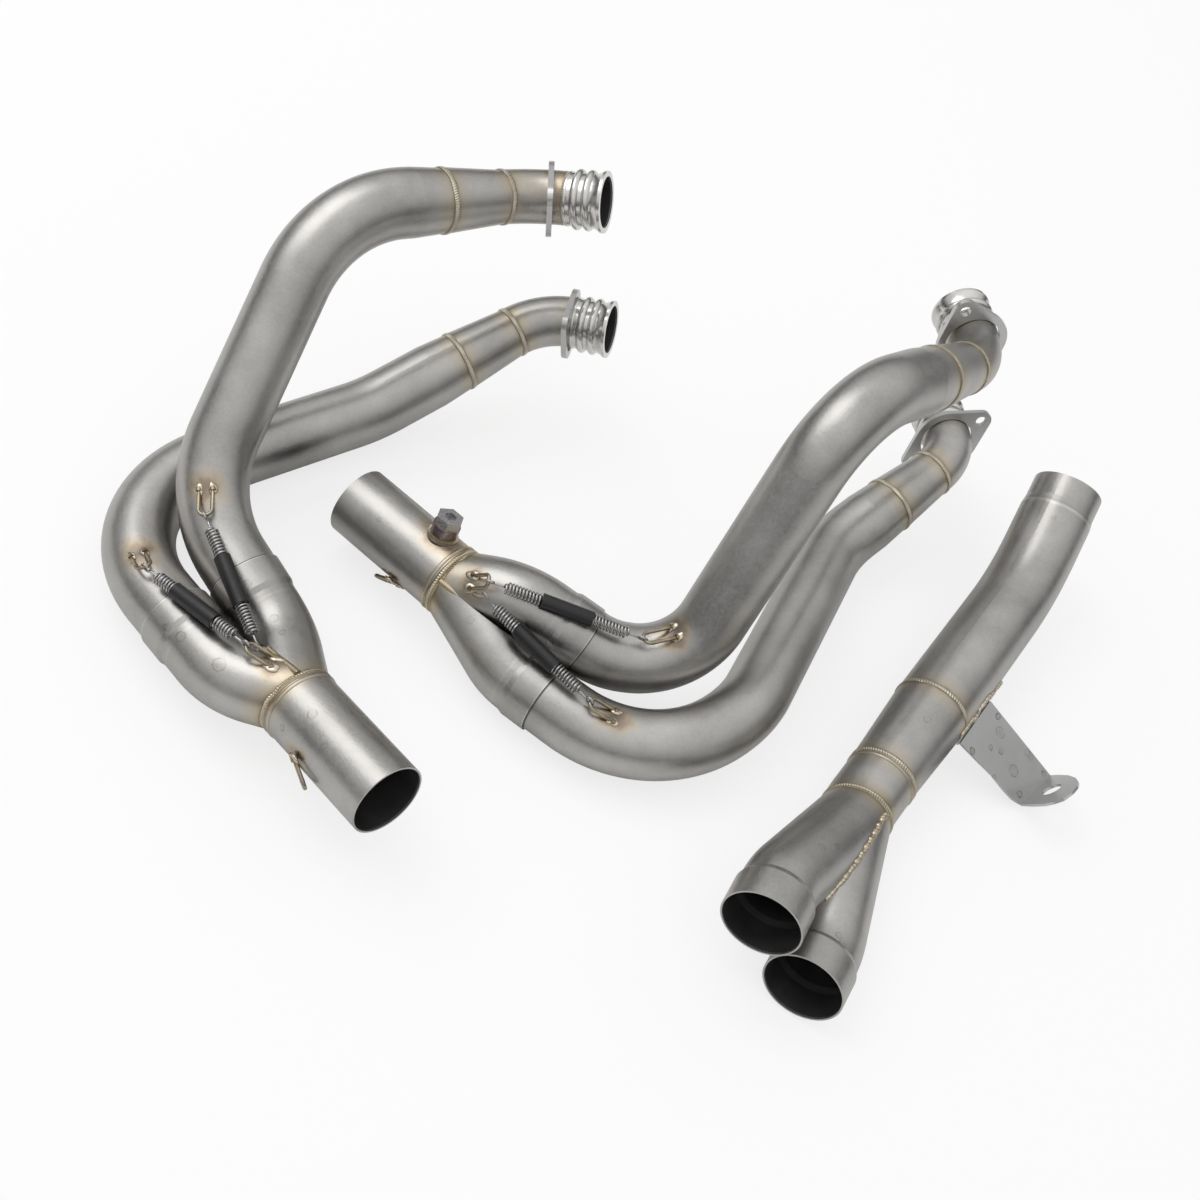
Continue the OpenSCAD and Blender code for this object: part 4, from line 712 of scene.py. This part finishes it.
# springs: first bow in mm and its way out from the tube, then the second bow and its way out
springs = {
    "left_spring_1": ((-276.9, -128.4, 73.9), (-0.009, -0.547, 0.837),
                      (-205.5, -198.1, 57.8), (-0.668, -0.231, 0.708)),
    "left_spring_2": ((-294.9, -174.6, 59.8), (-0.204, -0.107, 0.973),
                      (-211.0, -205.9, 67.8), (-0.153, 0.181, 0.972)),
    "right_spring_1": ((16.6, -84.3, 74.2), (-0.527, -0.413, 0.743),
                      (-92.2, -97.2, 83.8), (-0.357, -0.536, 0.765)),
    "right_spring_2": ((-0.6, -135.4, 55.2), (-0.037, -0.010, 0.999),
                      (-92.6, -94.1, 64.0), (0.129, -0.182, 0.975)),
}
springSizes = {"wire": 1.7, "coilRadius": 3.6, "loopRadius": 3.0, "loopShift": 0.95, "shank": 7, "pitch": 2.3,
               "pointsPerTurn": 20}


def springPath(stretch, twist):
    # open loop, straight shank, coil that swells over its first turns and shrinks over its last,
    # shank and loop again; the second loop is turned by twist about the spring's axis
    s = springSizes
    top = s["loopShift"] + s["loopRadius"]
    start = top + s["shank"]
    end = stretch - start
    turns = round((end - start) / s["pitch"])
    a = np.radians(np.arange(325, 36.9, -12))
    zero = np.zeros_like(a)
    loop = np.stack([s["loopRadius"] * np.sin(a), zero, s["loopShift"] + s["loopRadius"] * np.cos(a)], 1)
    shank = np.array([[0.4, 0, top + 0.4], [0, 0, top + 1.5], [0, 0, (top + start) / 2], [0, 0, start - 1.5]])
    n = turns * s["pointsPerTurn"]
    i = np.arange(n + 1)
    grow = s["pointsPerTurn"] * 5 / 8
    r = s["coilRadius"] * np.minimum(1, np.minimum(i / grow, (n - i) / grow))
    q = 2 * np.pi * i / s["pointsPerTurn"]
    coil = np.stack([r * np.cos(q), r * np.sin(q), start + (end - start) * i / n], 1)
    c, d = np.cos(twist), np.sin(twist)
    shank2 = np.array([[0, 0, end + 1.5], [0, 0, stretch - (top + start) / 2], [0, 0, stretch - top - 1.5],
                       [0.4 * c, 0.4 * d, stretch - top - 0.4]])
    b = a[::-1]
    loop2 = np.stack([s["loopRadius"] * np.sin(b) * c, s["loopRadius"] * np.sin(b) * d,
                      stretch - s["loopShift"] - s["loopRadius"] * np.cos(b)], 1)
    return np.vstack([loop, shank, coil, shank2, loop2])


def makeSprings():
    # each spring's path is laid from bow to bow, with its side square to the line between them
    mat = metalMaterial("springWire", steel["springLight"], steel["springDark"], steel["springRoughness"])
    for node, row in springs.items():
        bow, out, bow2, out2 = (np.array(v) for v in row)
        z = bow2 - bow
        stretch = np.linalg.norm(z)
        z /= stretch
        x = -(out - (out @ z) * z)
        x /= np.linalg.norm(x)
        x2 = -(out2 - (out2 @ z) * z)
        x2 /= np.linalg.norm(x2)
        y = np.cross(z, x)
        twist = math.atan2(x2 @ y, x2 @ x)
        local = springPath(stretch, twist)
        path = bow + local @ np.stack([x, y, z])
        points, faces = tubeAlong(path, springSizes["wire"] / 2, 8)
        side, _, number = node.partition("_spring_")
        piece = makePiece(side + "SpringWire" + number, points * mm, faces, mat)
        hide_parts(node)


def dome(centre, normal, along, long, wide, high, seed, rows=7, columns=18):
    # a weld puddle: half an ellipsoid on the tube, its radius waved by a few sines of the angle, and
    # stepped in height like frozen ripples; it starts a little under the surface and is closed below
    u = np.linspace(0, 1, rows)[:, None] * np.pi / 2
    a = np.linspace(0, 2 * np.pi, columns, endpoint=False)[None, :]
    wave = 1 + 0.09 * np.sin(3 * a + seed) + 0.06 * np.sin(5 * a + 2.1 * seed)
    x = long * np.cos(u) * np.cos(a) * wave
    y = wide * np.cos(u) * np.sin(a) * wave
    z = high * np.sin(u) + 0.07 * high * np.sin(7 * x / long + seed) * np.cos(u) - 0.45 * high * (u == 0)
    side = np.cross(normal, along)
    side /= np.linalg.norm(side)
    fore = np.cross(side, normal)
    points = centre + mm * (x[..., None] * fore + y[..., None] * side + z[..., None] * normal)
    top = points[-1].mean(0)
    low = points[0].mean(0)
    points = np.vstack([points[:-1].reshape(-1, 3), top[None], low[None]])
    faces = gridFaces(rows - 1, columns).tolist()
    last = (rows - 2) * columns
    k = np.arange(columns)
    after = (k + 1) % columns
    tip = np.full(columns, (rows - 1) * columns)
    faces += np.stack([last + k, last + after, tip], 1).tolist()
    faces += np.stack([after, k, tip + 1], 1).tolist()
    return points, faces


def joinParts(parts):
    # one mesh of several: the points are stacked and each part's faces count on from the last
    points, faces, start = [], [], 0
    for p, f in parts:
        points.append(p)
        faces += [[k + start for k in face] for face in f]
        start += len(p)
    return np.vstack(points), faces


def makeHookWelds():
    # one puddle at each leg end of each hook
    for side in ("left", "right"):
        parts = []
        for k, name in enumerate(n for n in hooks if n.startswith(side)):
            for j, (point, normal, along) in enumerate(hookFeet(name)):
                grow = hookSizes["armGrowth"] if "arm" in name else 1
                parts.append(dome(point, normal, along, grow * hookSizes["puddleLong"],
                                  grow * hookSizes["puddleWide"], hookSizes["puddleHigh"], 1.7 * k + 2.9 * j))
        points, faces = joinParts(parts)
        makePiece(side + "HookWelds", points, faces, finishes["weldMetal"])


linkCrotch = {
    "origin": (192.8, -120.0, 31.5), "across": (-0.783, 0.226, 0.579), "up": (-0.586, 0.040, -0.809),
    "away": (-0.206, -0.973, 0.101), "lean": 16.1, "first": 3, "last": 86, "radius": 1.9,
    "tubeRadius": 25, "startOffset": 0.98,
}


def beadAlong(path, radius, seed, step=1.15):
    # a weld bead along a path: its radius swells once each step, and wanders a little along the way
    s = np.concatenate([[0], np.cumsum(np.linalg.norm(np.diff(path, axis=0), axis=1))])
    radii = radius * (1 + 0.13 * np.abs(np.sin(np.pi * s / step)) + 0.16 * np.sin(0.37 * s + seed)
                      + 0.1 * np.sin(0.83 * s + 2 * seed))
    ends = np.minimum(1, np.minimum(s, s[-1] - s) / 2 + 0.25)
    return tubeAlong(path, radii * ends, 9)


def makeLinkWeld():
    # the ragged bead where the two inlets meet: both tubes lean by the same angle, so they cross on
    # the plane between them at the height whose square is the radius squared less the lean's offset
    g = linkCrotch
    z = np.linspace(g["first"], g["last"], 200)
    offset = z * math.sin(math.radians(g["lean"])) - g["startOffset"]
    parts = []
    for k in (-1, 1):
        y = k * np.sqrt(np.maximum(g["tubeRadius"] ** 2 - offset ** 2, 0))
        x = 0.35 * np.sin(0.9 * z + k) + 0.25 * np.sin(2.3 * z)
        path = np.array(g["origin"]) + x[:, None] * np.array(g["across"]) + y[:, None] * np.array(g["up"]) \
            + z[:, None] * np.array(g["away"])
        parts.append(beadAlong(path, g["radius"], 1.3 * k + 2))
    points, faces = joinParts(parts)
    makePiece("linkCrotchWeld", points * mm, faces, finishes["weldMetal"])


def slab(outline, hole, thick, origin, u, v):
    # a flat sheet in the plane of u and v: the outline, and the hole's loop with a point facing each of
    # its points, stand half the thickness over and under the plane and are joined by quads; without a
    # hole the two outlines close as flat faces
    outline = np.array(outline, float)
    x, y = outline.T
    if (x * np.roll(y, -1) - y * np.roll(x, -1)).sum() < 0:
        outline = outline[::-1]
    if hole:
        step = np.linspace(0, len(outline), 72, endpoint=False)
        ring = np.vstack([outline, outline[:1]])
        outline = np.stack([np.interp(step, np.arange(len(ring)), ring[:, c]) for c in (0, 1)], 1)
        turn = np.arctan2(outline[:, 1] - hole[1], outline[:, 0] - hole[0])
        inner = np.stack([hole[0] + hole[2] * np.cos(turn), hole[1] + hole[2] * np.sin(turn)], 1)
    loops = [outline, inner] if hole else [outline]
    up = np.cross(u, v)
    points = np.vstack([origin + p[:, :1] * u + p[:, 1:] * v + h * up
                        for h in (-thick / 2, thick / 2) for p in loops])
    n = len(outline)
    k, m = np.arange(n), (np.arange(n) + 1) % n
    if not hole:
        walls = np.stack([k, m, m + n, k + n], 1).tolist()
        return points, [k[::-1].tolist(), (k + n).tolist()] + walls
    quads = [(k, m, m + 2 * n, k + 2 * n), (m + n, k + n, k + 3 * n, m + 3 * n), (m, k, k + n, m + n),
             (k + 2 * n, m + 2 * n, m + 3 * n, k + 3 * n)]
    return points, np.vstack([np.stack(f, 1) for f in quads]).tolist()


def makeBracket():
    # the bracket: its plate, the ear folded up at the plate's end with its hole, and the strip on the
    # tube, whose inner face lies at the square root of the tube's radius squared less the height squared
    b = bracket
    corner, along, across = (np.array(b[k]) for k in ("corner", "along", "across"))
    side, up, run, ear = (np.array(b[k]) for k in ("tubeSide", "up", "foldRun", "earOut"))
    plate = slab(b["plate"], None, 2 * b["halfSheet"], corner, along, across)
    fold = corner + b["foldAt"][0] * along + b["foldAt"][1] * across
    folded = slab(b["ear"], b["hole"], 2 * b["halfSheet"], fold, ear, run)
    edge = np.array(b["stripEdge"])
    z = np.linspace(edge[0, 0], edge[-1, 0], b["stripColumns"])
    top = np.interp(z, edge[:, 0], edge[:, 1])
    foot = np.full_like(z, b["stripLow"])
    rows = []
    for y, lift in ((foot, 0), (top, 0), (top, 1), (foot, 1)):
        x = np.sqrt(b["tubeRadius"] ** 2 - y ** 2) - b["tubeRadius"] - b["tubeGap"] + lift * b["stripThick"]
        rows.append(corner + x[:, None] * side + y[:, None] * up + z[:, None] * across)
    points = np.stack(rows, 1).reshape(-1, 3)
    last = 4 * (len(z) - 1)
    strip = (points, gridFaces(len(z), 4).tolist() + [[3, 2, 1, 0], [last, last + 1, last + 2, last + 3]])
    points, faces = joinParts([plate, folded, strip])
    finish = nodes["link_bracket"].data.materials[0]
    piece = makePiece("linkBracket", points * mm, faces, finish, False)
    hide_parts("link_bracket")


def makeBracketWeld():
    # the bead along the bracket's strip: from its start on the bare tube it follows the strip's notched
    # edge; the tube's surface lies at the square root of its radius squared less the height squared
    b = bracket
    corners = np.array((b["beadStart"],) + b["stripEdge"])
    along = np.linspace(0, len(corners) - 1, 150)
    z = np.interp(along, np.arange(len(corners)), corners[:, 0])
    y = np.interp(along, np.arange(len(corners)), corners[:, 1]) + 0.25 * np.sin(1.7 * z)
    x = np.sqrt(b["tubeRadius"] ** 2 - y ** 2) - b["tubeRadius"] - b["tubeGap"] + 0.35
    path = np.array(b["corner"]) + x[:, None] * np.array(b["tubeSide"]) + y[:, None] * np.array(b["up"]) \
        + z[:, None] * np.array(b["across"])
    points, faces = beadAlong(path, b["beadRadius"], 0.6, 1.3)
    makePiece("bracketWeld", points * mm, faces, finishes["weldMetal"])


print("building the materials")
groups = {"grain": steelGrainGroup(), "weld": weldTintGroup(), "spot": spotTintGroup(), "boreShade": boreShadeGroup(),
          "line": paintedLineGroup(), "ring": ringMarkGroup()}
finishes = {"rubber": rubberMaterial(),
            "weldMetal": metalMaterial("weldMetal", (0.72, 0.67, 0.55, 1), (0.42, 0.35, 0.24, 1), 0.27)}
makeCamera()
makeRoom()
print("camera and room are in place")
paintSteel()
print("steel, rubber and wire finishes are on", len(nodes), "nodes")
makeSprings()
print("springs are wound")
makeHookWelds()
makeLinkWeld()
makeBracket()
makeBracketWeld()
print("welds are laid")
